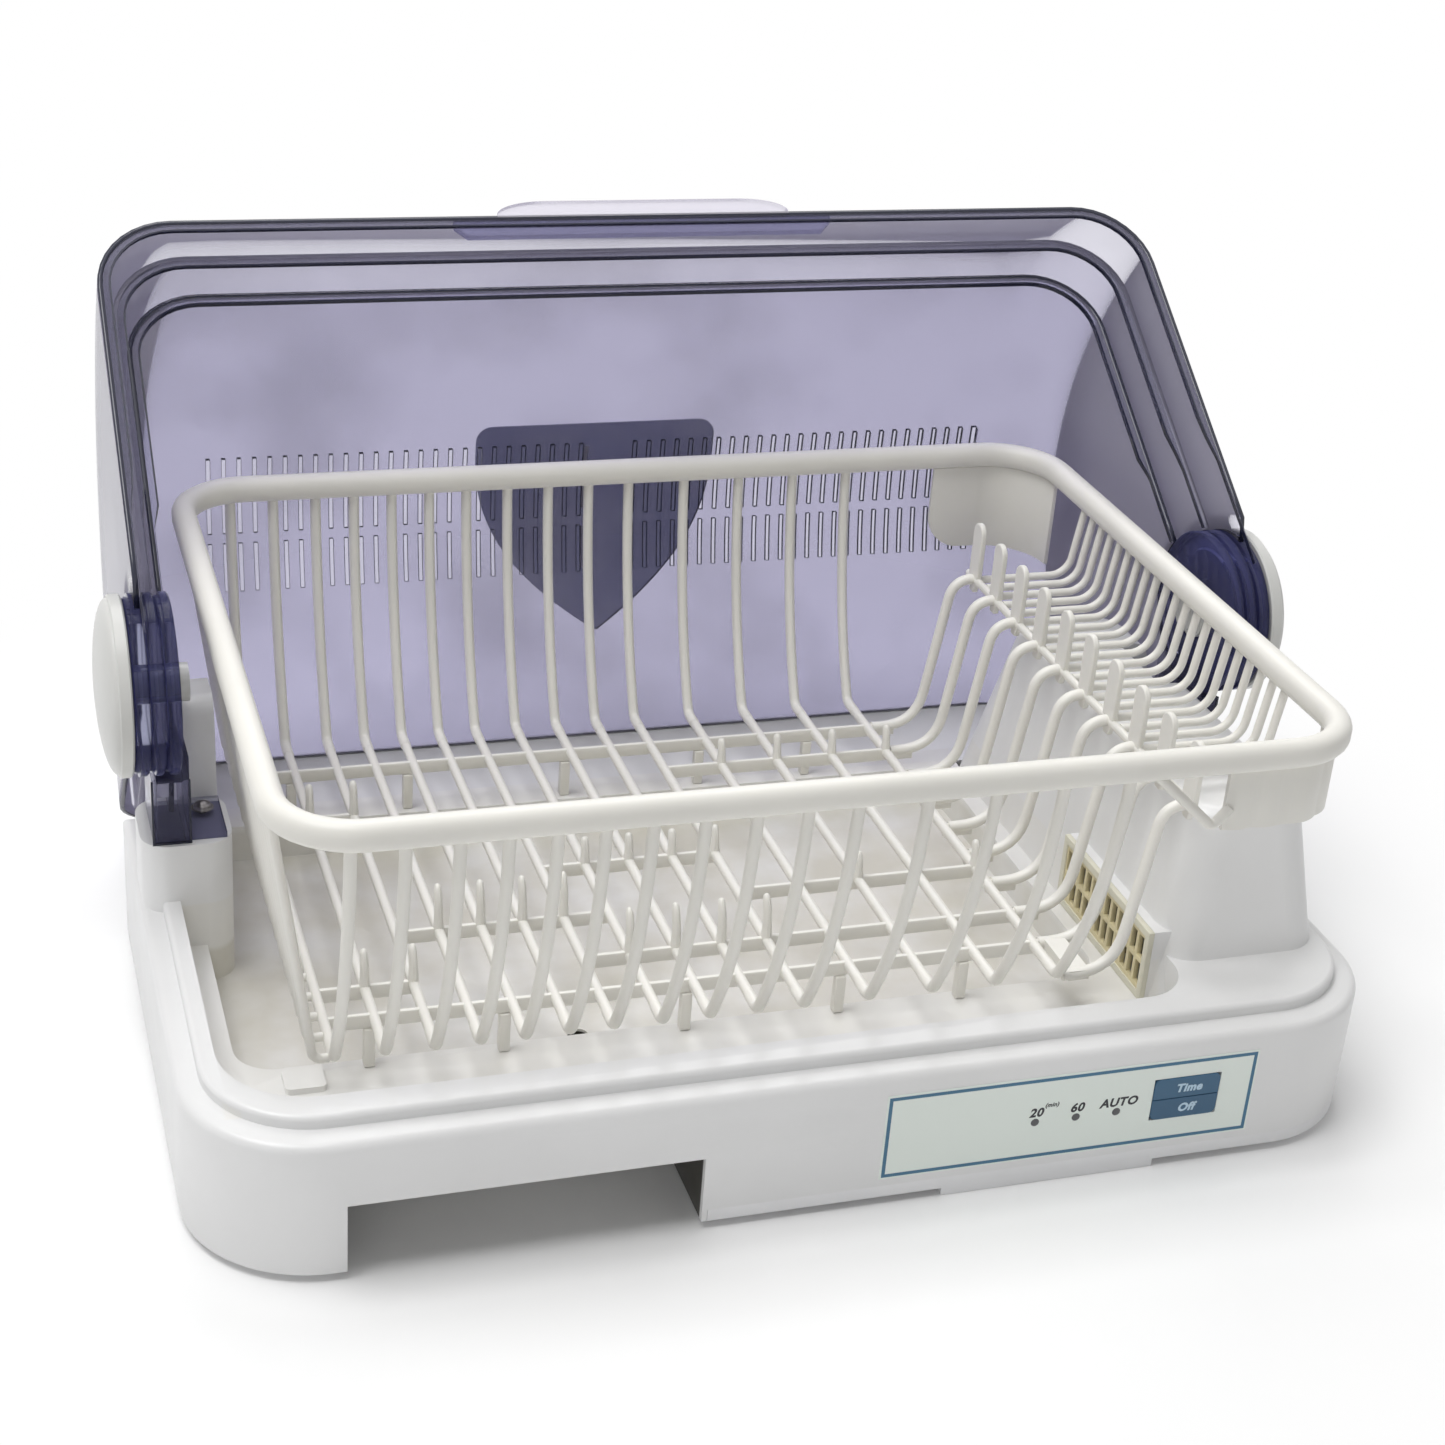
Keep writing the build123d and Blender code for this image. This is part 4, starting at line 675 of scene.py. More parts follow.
@dataclass
class Cover:
    """One tinted cover: a moulded shell about the hinge line with hubs and an inward rim."""

    node: str
    body: Body
    radius: float
    half_width: float
    lead: float
    trail: float
    wall: float = 2.4
    corner: float = 38.0
    rim_depth: float = 6.2
    rim_thickness: float = 2.4
    rim_line: float = 0.9
    rim_slim: tuple[float, float] = (84.0, 92.0)
    rim_least: float = 0.18
    overlap: float = 0.1
    dark_lead: bool = True
    lead_slope: float = 34.5
    most_lead: float = 100.0
    hub_radius: float = 42.0
    hub_bore: float = 9.1
    hub_thickness: float = 6.4
    vents: bool = False
    vent_first: float = -218.0
    vent_pitch: float = 8.2
    vent_count: int = 26
    vent_width: float = 2.2
    vent_middle_gap: float = 31.0
    vent_rows: tuple[tuple[float, float], ...] = ((6.0, -5.3), (-6.8, -13.8))
    foot_steps: tuple[tuple[float, float], ...] = ()

    def cheek_radii(self, last: float) -> Array:
        """Radii of the profile's points on a cheek, with those at which the foot turns."""
        radii = np.linspace(self.hub_radius, last, 14)[:-1]
        if not self.foot_steps:
            return radii
        turns = [HINGE_Z - z for _, z in self.foot_steps[:1]]
        for (y, z), low in zip(self.foot_steps, [z for _, z in self.foot_steps[1:]] + [None]):
            if y < self.radius:
                turns.append(math.hypot(y, HINGE_Z - z))
                turns.append(math.hypot(y, HINGE_Z - low))
        turns = np.array(turns)
        far = np.abs(radii[:, None] - turns[None]).min(axis=1) > 2.0
        return np.sort(np.concatenate([radii[far], turns]))

    def low_angle(self, radius: Array) -> Array:
        """Angle of the trailing edge at each radius, in degrees.

        Under a step at (Y, Z) the wall ends where both r cos a < Y and H + r sin a < Z, which
        is at -max(acos(Y / r), asin((H - Z) / r)), and the highest of the steps' angles holds.
        """
        angle = np.full(radius.shape, self.trail)
        for y, z in self.foot_steps:
            across = np.degrees(np.arccos(np.minimum(1.0, y / radius)))
            drop = (HINGE_Z - z) / radius
            down = np.where(drop < 1.0, np.degrees(np.arcsin(np.minimum(drop, 1.0))), 90.0)
            angle = np.maximum(angle, -np.maximum(across, down))
        return angle

    def profile(self, depth: float, steps: int = 10) -> Array:
        """Cross-section of the shell in (x, radius), at a depth under its surface.

        Args:
            depth: How far under the outer surface.
            steps: Points in each corner.

        Returns:
            Points from the left hub over the roof to the right hub, shape (m, 2).
        """
        half, top, corner = self.half_width - depth, self.radius - depth, self.corner - depth
        cheek = self.cheek_radii(self.radius - self.corner)
        a = np.linspace(0.0, math.pi / 2, steps)
        bend_x = half - corner + corner * np.cos(a)
        bend_r = top - corner + corner * np.sin(a)
        right_x = np.concatenate([np.full(len(cheek), half), bend_x])
        right_r = np.concatenate([cheek, bend_r])
        roof = self.roof_lines(half - corner)
        x = np.concatenate([-right_x, roof, right_x[::-1]])
        r = np.concatenate([right_r, np.full(len(roof), top), right_r[::-1]])
        return np.stack([x, r], axis=1)

    def vent_places(self) -> Array:
        """X of each vent slot's middle."""
        per_group = np.arange(self.vent_count) * self.vent_pitch + self.vent_first
        return np.concatenate([per_group, per_group + self.vent_pitch * (self.vent_count - 1)
                               + self.vent_middle_gap])

    def roof_lines(self, half: float) -> Array:
        """X of the grid lines across the roof, with a pair for each vent slot."""
        if not self.vents:
            return np.linspace(-half, half, 24)[1:-1]
        places = self.vent_places()
        lines = np.concatenate([places - self.vent_width / 2, places + self.vent_width / 2])
        return np.sort(lines[np.abs(lines) < half - 1.0])

    def lead_angle(self, radius: Array) -> Array:
        """Angle at which the leading plane meets a radius, in degrees.

        The plane lies at lead_slope and passes d = R sin(lead - lead_slope) above the hinge
        line, so at radius r its angle is lead_slope + asin(d / r).
        """
        rise = self.radius * math.sin(math.radians(self.lead - self.lead_slope))
        share = np.clip(rise / radius, -1.0, 1.0)
        return np.minimum(self.lead_slope + np.degrees(np.arcsin(share)), self.most_lead)

    def turned(self, profile: Array, angle: Array) -> Array:
        """Points (x, r cos a, H + r sin a) of a profile at angles a."""
        a = np.radians(angle)
        x = np.broadcast_to(profile[:, 0], a.shape)
        return np.stack([x, profile[:, 1] * np.cos(a), HINGE_Z + profile[:, 1] * np.sin(a)], -1)

    def angles(self) -> Array:
        """Shares of the way from the trailing to the leading edge of the grid's rows."""
        share = np.linspace(0.0, 1.0, 48)
        if not self.vents:
            return share
        edges = np.array([a for row in self.vent_rows for a in row])
        top = np.array([self.radius])
        low = self.low_angle(top)[0]
        return np.sort(np.concatenate([share, (edges - low) / (self.lead_angle(top)[0] - low)]))

    def shell(self) -> bpy.types.Object:
        """The moulded wall, with its vent slots left out.

        Returns:
            The wall's object.
        """
        profile = self.profile(0.0)
        share = self.angles()[:, None]
        lead = self.lead_angle(profile[:, 1])[None]
        low = self.low_angle(profile[:, 1])[None]
        angle = low + share * (lead - low)
        keep = np.ones((len(share) - 1, len(profile) - 1), bool)
        if self.vents:
            middle_x = (profile[1:, 0] + profile[:-1, 0]) / 2
            near = np.abs(middle_x[:, None] - self.vent_places()[None]).min(axis=1)
            on_roof = profile[1:, 1] >= self.radius - 0.01
            slot_x = (near < self.vent_width / 2) & on_roof
            roof = int(np.argmax(on_roof))
            top_angle = (angle[1:, roof] + angle[:-1, roof]) / 2
            slot_a = np.zeros(len(top_angle), bool)
            for upper, lower in self.vent_rows:
                slot_a |= (top_angle < upper) & (top_angle > lower)
            keep = ~(slot_a[:, None] & slot_x[None])
        pile = Pile()
        pile.add(self.turned(profile, angle), wrap_v=False, caps=False, keep=keep)
        obj = pile.make(self.node + "_wall", [TINT, TINT_PAINTED_DARK_EDGE, TINT_RIM], self.body)
        solid = obj.modifiers.new("wall", "SOLIDIFY")
        solid.thickness = self.wall * MM
        solid.offset = -1.0
        solid.use_even_offset = True
        # On the front and rear covers the leading edge's faces take the near-black painted shade.
        solid.material_offset_rim = 1 if self.dark_lead else 2
        return obj

    def rim(self) -> bpy.types.Object:
        """Inward rim along the leading edge, painted near black on its inner edge as painted shade.

        In the leading plane a profile point at radius r lies at s = sqrt(r^2 - d^2) from the
        hinge line's foot, and the rim goes down from the plane by its thickness. Near the hubs
        its depth falls to rim_least of the full one, so that it passes the legs.

        Returns:
            The rim's object.
        """
        rise = self.radius * math.sin(math.radians(self.lead - self.lead_slope))
        slope = math.radians(self.lead_slope)
        out = np.array([0.0, math.cos(slope), math.sin(slope)])
        up = np.array([0.0, -math.sin(slope), math.cos(slope)])
        corners = []
        limit = self.hub_radius + 1.0
        line, start = self.rim_depth - self.rim_line, self.wall - self.overlap
        for depth, drop in ((start, 0.0), (line, 0.0), (self.rim_depth, 0.0),
                            (self.rim_depth, self.rim_thickness), (start, self.rim_thickness)):
            prof = self.profile(depth)
            level = rise - drop
            s = np.sqrt(np.maximum(prof[:, 1] ** 2 - level ** 2, 0.0))
            s = np.where(prof[:, 1] <= limit, np.sqrt(max(limit ** 2 - level ** 2, 0.0)), s)
            slim = np.interp(prof[:, 1], self.rim_slim, (self.rim_least, 1.0))
            deep = start + (depth - start) * slim
            on_cheek = prof[:, 1] <= self.radius - self.corner
            x = np.where(on_cheek, np.sign(prof[:, 0]) * (self.half_width - deep), prof[:, 0])
            point = x[:, None] * X_AXIS + s[:, None] * out + level * up
            corners.append(point + np.array([0.0, 0.0, HINGE_Z]))
        grid = np.stack(corners, axis=1)
        pile = Pile()
        pile.add(grid[:, :2], wrap_v=False, caps=False)
        # Inner strip of the rim: near-black painted shade.
        pile.add(grid[:, 1:4], wrap_v=False, caps=False, slot=1)
        pile.add(grid[:, 3:], wrap_v=False, caps=False)
        pile.add(grid[:, [4, 0]], wrap_v=False, caps=False)
        return pile.make(self.node + "_rim", [TINT_RIM, TINT_PAINTED_DARK_EDGE], self.body)

    def hubs(self) -> bpy.types.Object:
        """Thick round hubs with a stepped, rounded edge, turned about the hinge line.

        Returns:
            The hubs' object.
        """
        inner = self.half_width - self.wall
        outer = inner + self.hub_thickness
        r, bore, e = self.hub_radius, self.hub_bore, 0.8
        outline = np.array([[inner, bore], [inner, r - e], [inner + e, r], [outer - 2.4, r],
                            [outer - 2.0, r - 1.6], [outer - e, r - 1.6], [outer, r - 2.4],
                            [outer, r - 9.0], [outer - 1.2, r - 10.0], [outer - 1.2, bore + 8.0],
                            [outer, bore + 7.0], [outer, bore]])
        pile = Pile()
        for sign in (1.0, -1.0):
            pile.add(about_hinge(outline, sign, 72), wrap_u=True, wrap_v=True)
        return pile.make(self.node + "_hubs", [TINT_HUB], self.body)

    def build(self) -> None:
        """Makes the cover's pieces, which stand for its CAD node."""
        wall = self.shell()
        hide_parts(self.node)
        for piece in (self.rim(), self.hubs()):
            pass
        LOG.info("%s: wall, rim and hubs", self.node)


@dataclass
class CoverSet:
    """The three nested covers, the front one's handle and the rear one's legs."""

    step: float = 7.0
    radius: float = 234.0
    half_width: float = 277.0
    lead: float = 46.0
    lead_slope: float = 34.5
    lip_half: float = 77.5
    lip_depth: float = 9.0
    lip_wide: float = 26.0
    lip_bend: float = 8.6
    grip_angles: tuple[float, float] = (7.0, -23.0)
    grip_half: float = 69.0
    grip_corner: float = 9.0
    grip_straight: float = 0.12
    grip_power: float = 2.5
    grip_reach: tuple[float, float] = (1.95, 0.05)
    band_half: float = 100.0
    band_depth: float = 11.5
    band_mitre: float = 6.2
    band_low: float = -4.8
    band_high: float = -1.2
    leg_x: tuple[float, float] = (256.0, 273.0)
    leg_y: tuple[float, float] = (-15.6, 22.4)
    leg_z: tuple[float, float] = (105.05, 138.4)
    leg_wall: float = 2.4
    leg_neck_top: float = 150.0
    tab_inner: float = 239.0
    tab_top: float = 108.05
    screw_place: tuple[float, float] = (247.5, 12.0)
    cap_inner: float = 281.6
    cap_radius: float = 42.0
    cap_rim: float = 6.0
    cap_rise: float = 8.0
    pin_inner: float = 253.6
    pin_radius: float = 9.0

    def on_edge(self, flat: Array) -> Array:
        """Points of the leading edge's own frame, turned into place.

        (x, s, t) goes to (x, R cos g + s, R sin g + t) in a frame turned by the slope, where g
        is lead - lead_slope.
        """
        slope = math.radians(self.lead_slope)
        apart = math.radians(self.lead - self.lead_slope)
        s = flat[..., 1] + self.radius * math.cos(apart)
        t = flat[..., 2] + self.radius * math.sin(apart)
        y = s * math.cos(slope) - t * math.sin(slope)
        z = s * math.sin(slope) + t * math.cos(slope) + HINGE_Z
        return np.stack([flat[..., 0], y, z], -1)

    def handle(self) -> None:
        """Handle band under the rim, with mitred ends, and the pale finger lip outside."""
        half, depth, mitre = self.band_half, self.band_depth, self.band_mitre
        outline = np.array([[-half, -1.6], [-half, -depth + mitre], [-half + mitre, -depth],
                            [half - mitre, -depth], [half, -depth + mitre], [half, -1.6]])
        band = Pile()
        rows = [np.column_stack([outline, np.full(6, z)]) for z in (self.band_low, self.band_high)]
        band.add(self.on_edge(np.stack(rows)))
        obj = band.make("cover_handle_band", [TINT_BAND], Body.FRONT)
        reach, wide, bend = self.lip_depth, self.lip_wide, self.lip_bend
        a = np.linspace(0.0, math.pi / 2, 13)
        right = np.column_stack([self.lip_half - wide + wide * np.cos(a),
                                 reach - bend + bend * np.sin(a)])
        left = right[::-1] * np.array([-1.0, 1.0])
        edge = np.vstack([[[self.lip_half, -1.0]], right, left, [[-self.lip_half, -1.0]]])
        rows = [np.column_stack([edge, np.full(len(edge), z)]) for z in (-2.4, 0.0)]
        lip = Pile()
        lip.add(self.on_edge(np.stack(rows)))
        obj = lip.make("cover_finger_lip", [TINT_LIP], Body.FRONT)

    def grip(self) -> None:
        """Shield-shaped plate bonded to the outside of the front cover.

        At a depth d under its top, with s = grip_straight, p = grip_power and
        u = max(0, (d / D - s) / (1 - s)), the half width is W (1 - u^p), less
        c - sqrt(c^2 - (c - d)^2) in the top corners of radius c.
        """
        top, tip = (self.radius * math.sin(math.radians(v)) for v in self.grip_angles)
        tall, corner = top - tip, self.grip_corner
        depth = np.concatenate([corner * (1.0 - np.cos(np.linspace(0.0, math.pi / 2, 8))),
                                np.linspace(corner, tall * 0.995, 30)[1:]])
        straight = self.grip_straight
        u = np.maximum(0.0, (depth / tall - straight) / (1.0 - straight))
        near = np.maximum(corner - depth, 0.0)
        half = self.grip_half * (1.0 - u ** self.grip_power) - corner
        half += np.sqrt(corner ** 2 - near ** 2)
        share = np.linspace(-1.0, 1.0, 9)
        out, over = (self.radius + reach for reach in self.grip_reach)
        across = np.concatenate([share, share[::-1]])
        reach = np.concatenate([np.full(9, out), np.full(9, over)])
        z = (top - depth)[:, None]
        grid = np.stack([half[:, None] * across, np.sqrt(reach ** 2 - z ** 2),
                         np.broadcast_to(HINGE_Z + z, (len(depth), 18))], -1)
        pile = Pile()
        pile.add(grid)
        obj = pile.make("cover_grip_shield", [TINT_GRIP], Body.FRONT)
        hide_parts("cover_grip")

    def legs(self) -> None:
        """Hollow legs under the rear cover's hubs, open behind, with their screw tabs."""
        (x0, x1), (y0, y1), (z0, z1) = self.leg_x, self.leg_y, self.leg_z
        w = self.leg_wall
        pile, painted_dark_edges = Pile(), Pile()
        for side in (1.0, -1.0):
            def slab(low: tuple, high: tuple, into: Pile) -> None:
                """Adds a box of the right-hand leg, on this side."""
                into.slab((side * low[0], *low[1:]), (side * high[0], *high[1:]))
            slab((x0, y0, z0), (x1, y0 + w, z1), pile)
            slab((x0, y0 + w, z0), (x0 + w, y1, z1), pile)
            slab((x1 - w, y0 + w, z0), (x1, y1, z1), pile)
            slab((x0 + w, y0 + w, z0), (x1 - w, y1, z0 + w), pile)
            slab((x0 + w, y0 + w, z1 - w), (x1 - w, y1, z1), pile)
            slab((x0, y0, z1), (x0 + 7.0, y1, self.leg_neck_top), pile)
            slab((self.tab_inner, y0 + w, z0), (x0, y1, self.tab_top), pile)
            # Thin near-black strips on the legs' front edges: painted shade.
            for x in (x0, x1):
                slab((x - 0.5, y0 - 0.4, z0), (x + 0.5, y0 + 0.6, z1), painted_dark_edges)
            slab((x0, y0 - 0.4, z0), (x1, y0 + 0.6, z0 + 1.0), painted_dark_edges)
        for name, built, finish in (("cover_legs", pile, TINT_LEG),
                                    ("cover_leg_painted_dark_edges", painted_dark_edges, TINT_PAINTED_DARK_EDGE)):
            obj = built.make(name, [finish], Body.BASE)

    def caps(self) -> None:
        """Caps with a flat rim, a low dome and the pin: a profile (x, r) turned about the hinge.

        The dome follows x = rim + rise sin a, r = R cos a.
        """
        a = np.linspace(0.0, math.pi / 2, 12)[:-1]
        base, top, rise = self.cap_inner, self.cap_inner + self.cap_rim, self.cap_rise
        r = self.cap_radius - 1.6
        rim = np.array([[self.pin_inner, 0.02], [self.pin_inner, self.pin_radius],
                        [base, self.pin_radius], [base, self.cap_radius - 0.8],
                        [base + 0.8, self.cap_radius], [top - 0.6, self.cap_radius],
                        [top, self.cap_radius - 0.6], [top, r]])
        dome = np.column_stack([top + rise * np.sin(a[1:]), r * np.cos(a[1:])])
        outline = np.vstack([rim, dome, [[top + rise, 0.02]]])
        for sign, side in ((1.0, "right"), (-1.0, "left")):
            pile = Pile()
            pile.add(about_hinge(outline, sign, 96), wrap_u=True, wrap_v=True)
            obj = pile.make(f"hinge_cap_{side}_dome", [IVORY], Body.BASE)
            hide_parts(f"hinge_cap_{side}")

    def leg_screws(self) -> None:
        """Domed pan screws on both tabs: a profile (r, z) turned about each screw's axis."""
        top = self.tab_top + 0.1
        outline = np.array([[0.01, top + 3.4], [1.6, top + 3.2], [3.2, top + 2.3],
                            [4.3, top + 0.9], [4.6, top + 0.2], [5.4, top + 0.1],
                            [5.4, top - 0.05], [0.01, top - 0.05]])
        a = np.linspace(0, 2 * math.pi, 28, endpoint=False)[:, None]
        pile = Pile()
        for side in (1.0, -1.0):
            x = side * self.screw_place[0] + outline[:, 0] * np.cos(a)
            y = self.screw_place[1] + outline[:, 0] * np.sin(a)
            z = np.broadcast_to(outline[:, 1], x.shape)
            pile.add(np.stack([x, y, z], -1), wrap_u=True, wrap_v=True)
        obj = pile.make("leg_screw_heads", [SCREW], Body.BASE)

    def build(self) -> None:
        """Makes the front, middle and rear covers."""
        r, w = self.radius, self.half_width
        Cover("front_cover", Body.FRONT, r, w, lead=self.lead, trail=-45.0).build()
        Cover("middle_cover", Body.MIDDLE, r - self.step, w - self.step, lead=40.5, trail=-49.5,
              dark_lead=False).build()
        Cover("rear_cover", Body.BASE, r - 2 * self.step, w - 2 * self.step, lead=34.8,
              trail=-80.0, vents=True,
              foot_steps=((30.6, 105.05), (81.0, 78.1), (900.0, 45.05))).build()
        self.handle()
        self.grip()
        self.legs()
        self.leg_screws()
        self.caps()
        LOG.info("covers: handle, legs and screws")


# Basket


@dataclass
class PlateBasket:
    """Moulded lift-out basket: rail, wall ribs, floor lattice, prongs and cup shelf."""

    rail_x: float = 239.8
    rail_y: float = 183.0
    rail_middle: float = -15.8
    rail_z: float = 206.5
    rail_corner: float = 34.0
    rail_wide: float = 12.0
    rail_tall: float = 13.0
    rib: float = 2.75
    rib_tip_front: float = -161.5
    rib_tip_back: float = 133.0
    floor_z: float = 75.5
    first_x: float = -213.0
    groups: tuple[tuple[int, float], ...] = ((2, 22.0), (4, 20.0), (4, 22.3), (4, 31.3))
    shelf_z: float = 162.0
    shelf_left: float = 181.0
    stay_count: int = 10
    stay_first: float = 98.0
    stay_pitch: float = 28.6
    stay_foot: float = 148.0
    stay_section: tuple[float, float, float] = (5.6, 5.4, 2.5)
    stay_bends: tuple[float, float] = (11.0, 20.0)
    floor_section: tuple[float, float, float] = (4.6, 5.0, 1.9)
    cross_section: tuple[float, float, float] = (2.7, 7.4, 1.1)
    cross_drop: float = 1.8
    prong_radius: float = 2.1
    prong_squash: float = 1.3
    prong_lean: float = 5.0
    tab_half: float = 5.8
    tab_ends: tuple[float, float] = (159.9, 194.3)
    tab_thickness: float = 3.0

    def rib_xs(self) -> Array:
        """X of the fifteen long ribs."""
        steps = np.concatenate([np.full(n, pitch) for n, pitch in self.groups])
        return self.first_x + np.concatenate([[0.0], np.cumsum(steps)])

    def stay_ys(self) -> Array:
        """Y of the ten stays and tabs of the cup shelf."""
        return self.stay_first - np.arange(self.stay_count) * self.stay_pitch

    def rail(self) -> None:
        """Rounded rail round the top."""
        loop = loop_path(self.rail_x, self.rail_y, self.rail_corner, self.rail_middle, self.rail_z)
        section = box_section(self.rail_tall, self.rail_wide, 5.2, 5)
        pile = Pile()
        pile.add(carried(loop, section, Z_AXIS, closed=True), wrap_u=True)
        obj = pile.make("basket_rail_bar", [WARM], Body.BASKET)
        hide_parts("basket_rail")

    def wall_ribs(self, side: float, tip: float, name: str, node: str) -> None:
        """Long ribs of the front or back wall, bowed and bent in to the floor.

        Args:
            side: -1 at the front, 1 at the back.
            tip: Y of the outside of the ribs' lower bend.
            name: The object's name.
            node: The CAD node that it stands for.
        """
        top = np.array([self.rail_middle + side * self.rail_y, self.rail_z])
        toe = np.array([tip - side * self.rib, self.floor_z])
        run, drop = top[0] - toe[0], top[1] - toe[1]
        knee = np.array([toe[0] + run * 0.86, toe[1] + drop * 0.42])
        t = np.linspace(0.0, 1.0, 22)[:, None]
        bow = bowed(top, knee, toe, t)
        inward = toe + np.array([-side * 12.0, 0.0])
        flat = np.vstack([bow, inward])
        pile = Pile()
        for x in self.rib_xs():
            path = np.column_stack([np.full(len(flat), x), flat])
            path = np.vstack([path[:-2], bent_path(path[-3:], 4.0)[1:]])
            pile.add(carried(path, round_section(self.rib), X_AXIS))
        obj = pile.make(name, [WARM], Body.BASKET)
        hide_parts(node)

    def row_y(self, share: float) -> float:
        """Y of a row of the floor, as a share of its depth from the front."""
        return self.rib_tip_front + share * (self.rib_tip_back - self.rib_tip_front)

    def cross_rows(self) -> list[tuple[float, float, float]]:
        """Cross ribs of the floor: Y, first X, last X."""
        x, y, at = self.rib_xs(), self.stay_ys(), self.row_y
        rows = [(y[0], x[0], x[14]), (y[8], x[0], x[14]), (y[1], x[10], x[14]),
                (at(0.7114), x[0], x[2]), (at(0.3243), x[2], x[7]), (at(0.1986), x[6], x[10]),
                (at(0.4805), x[6], x[10]), (at(0.3514), x[10], x[14]), (y[7], x[10], x[14]),
                (at(0.182), x[0], x[2])]
        return rows + [(v, x[14], self.stay_foot - 7.0) for v in y[:-1]]

    def lattice(self) -> None:
        """Floor of long round-edged bars with thinner, deeper cross ribs."""
        front, back = self.rib_tip_front + 11.6, self.rib_tip_back - 11.6
        pile = Pile()
        for x in self.rib_xs():
            path = np.array([[x, front, self.floor_z], [x, 0.0, self.floor_z],
                             [x, back, self.floor_z]])
            pile.add(carried(path, box_section(*self.floor_section, 4), X_AXIS))
        z = self.floor_z - self.cross_drop
        for y, x0, x1 in self.cross_rows():
            path = np.array([[x0, y, z], [(x0 + x1) / 2, y, z], [x1, y, z]])
            pile.add(carried(path, box_section(*self.cross_section, 3), Y_AXIS))
        y = self.stay_ys()
        pile.slab((self.rib_xs()[-1] + 5.2, y[-1] - 2.0, self.floor_z - 2.5),
                  (self.stay_foot - 7.0, y[-2], self.floor_z + 2.5))
        obj = pile.make("basket_floor_lattice", [WARM], Body.BASKET)
        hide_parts("basket_floor")

    def prong_places(self) -> list[tuple[float, float, float]]:
        """X, Y and height of every plate prong."""
        x, at = self.rib_xs(), self.row_y
        rows = [(at(0.3243), 20.0, 3, 7), (at(0.1986), 20.0, 7, 11), (at(0.4805), 12.0, 7, 11),
                (at(0.3514), 12.0, 11, 15), (self.stay_ys()[1], 12.0, 11, 15),
                (at(0.7114), 16.0, 1, 3), (at(0.182), 16.0, 1, 3)]
        return [(x[i], y, tall) for y, tall, first, end in rows for i in range(first, end)]

    def prongs(self) -> None:
        """Hooked prongs: the axis is (x, y + lean t^3, z0 + h t), thinner towards a round tip."""
        t = np.array([0.0, 0.2, 0.4, 0.6, 0.75, 0.87, 0.95, 0.985, 1.0])
        size = np.array([1.25, 1.08, 1.0, 0.96, 0.94, 0.9, 0.74, 0.48, 0.12])
        pile = Pile()
        for x, y, tall in self.prong_places():
            path = np.column_stack([np.full(len(t), x), y + self.prong_lean * t ** 3 * tall / 20.0,
                                    self.floor_z + 1.4 + (tall + 1.1) * t])
            section = round_section(self.prong_radius, 10, self.prong_squash)
            pile.add(carried(path, section, X_AXIS, size))
        obj = pile.make("plate_prong_hooks", [WARM], Body.BASKET)
        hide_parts("plate_prongs")

    def stays(self) -> None:
        """Bars that leave the cup shelf, bend down and bend again into the floor."""
        left = self.shelf_left
        pile = Pile()
        for y in self.stay_ys():
            points = np.array([[left - 1.4, y, self.shelf_z], [left - 14.0, y, self.shelf_z],
                               [self.stay_foot + 6.0, y, self.floor_z],
                               [self.stay_foot - 20.0, y, self.floor_z]])
            path = bent_path(points, np.array(self.stay_bends), 9)
            pile.add(carried(path, box_section(*self.stay_section, 4), Y_AXIS))
        obj = pile.make("cup_shelf_bars", [WARM], Body.BASKET)
        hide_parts("cup_shelf_stays")

    def tabs(self) -> None:
        """Edge bar with upright tabs, round above and pointed below."""
        right = self.shelf_left
        left = right - self.tab_thickness
        y = self.stay_ys()
        a = np.linspace(0.0, math.pi, 11)
        half, (low, top) = self.tab_half, self.tab_ends
        round_top = np.column_stack([half * np.cos(a), top - half + half * np.sin(a)])
        web = np.array([[-half, low + 4.0], [-2.6, low - 5.0], [2.6, low - 5.0], [half, low + 4.0]])
        outline = np.vstack([round_top, web])
        pile = Pile()
        for middle in y:
            pile.plate(outline + np.array([middle, 0.0]), 0, left, right)
        path = np.array([[right - 1.6, y[-1] - 9.0, self.shelf_z], [right - 1.6, 0.0, self.shelf_z],
                         [right - 1.6, y[0] + 9.0, self.shelf_z]])
        pile.add(carried(path, box_section(3.6, 4.4, 1.6, 4), X_AXIS))
        obj = pile.make("cup_shelf_tabs", [WARM], Body.BASKET, 30.0)
        bevelled(obj, 0.7)
        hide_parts("cup_shelf_edge")

    def build(self) -> None:
        """Makes the basket's pieces."""
        self.rail()
        self.lattice()
        self.prongs()
        self.stays()
        self.tabs()
        self.wall_ribs(-1.0, self.rib_tip_front, "basket_front_rods", "basket_front_ribs")
        self.wall_ribs(1.0, self.rib_tip_back, "basket_back_rods", "basket_back_ribs")
        LOG.info("basket: rail, ribs, floor, prongs and cup shelf")


# Controls


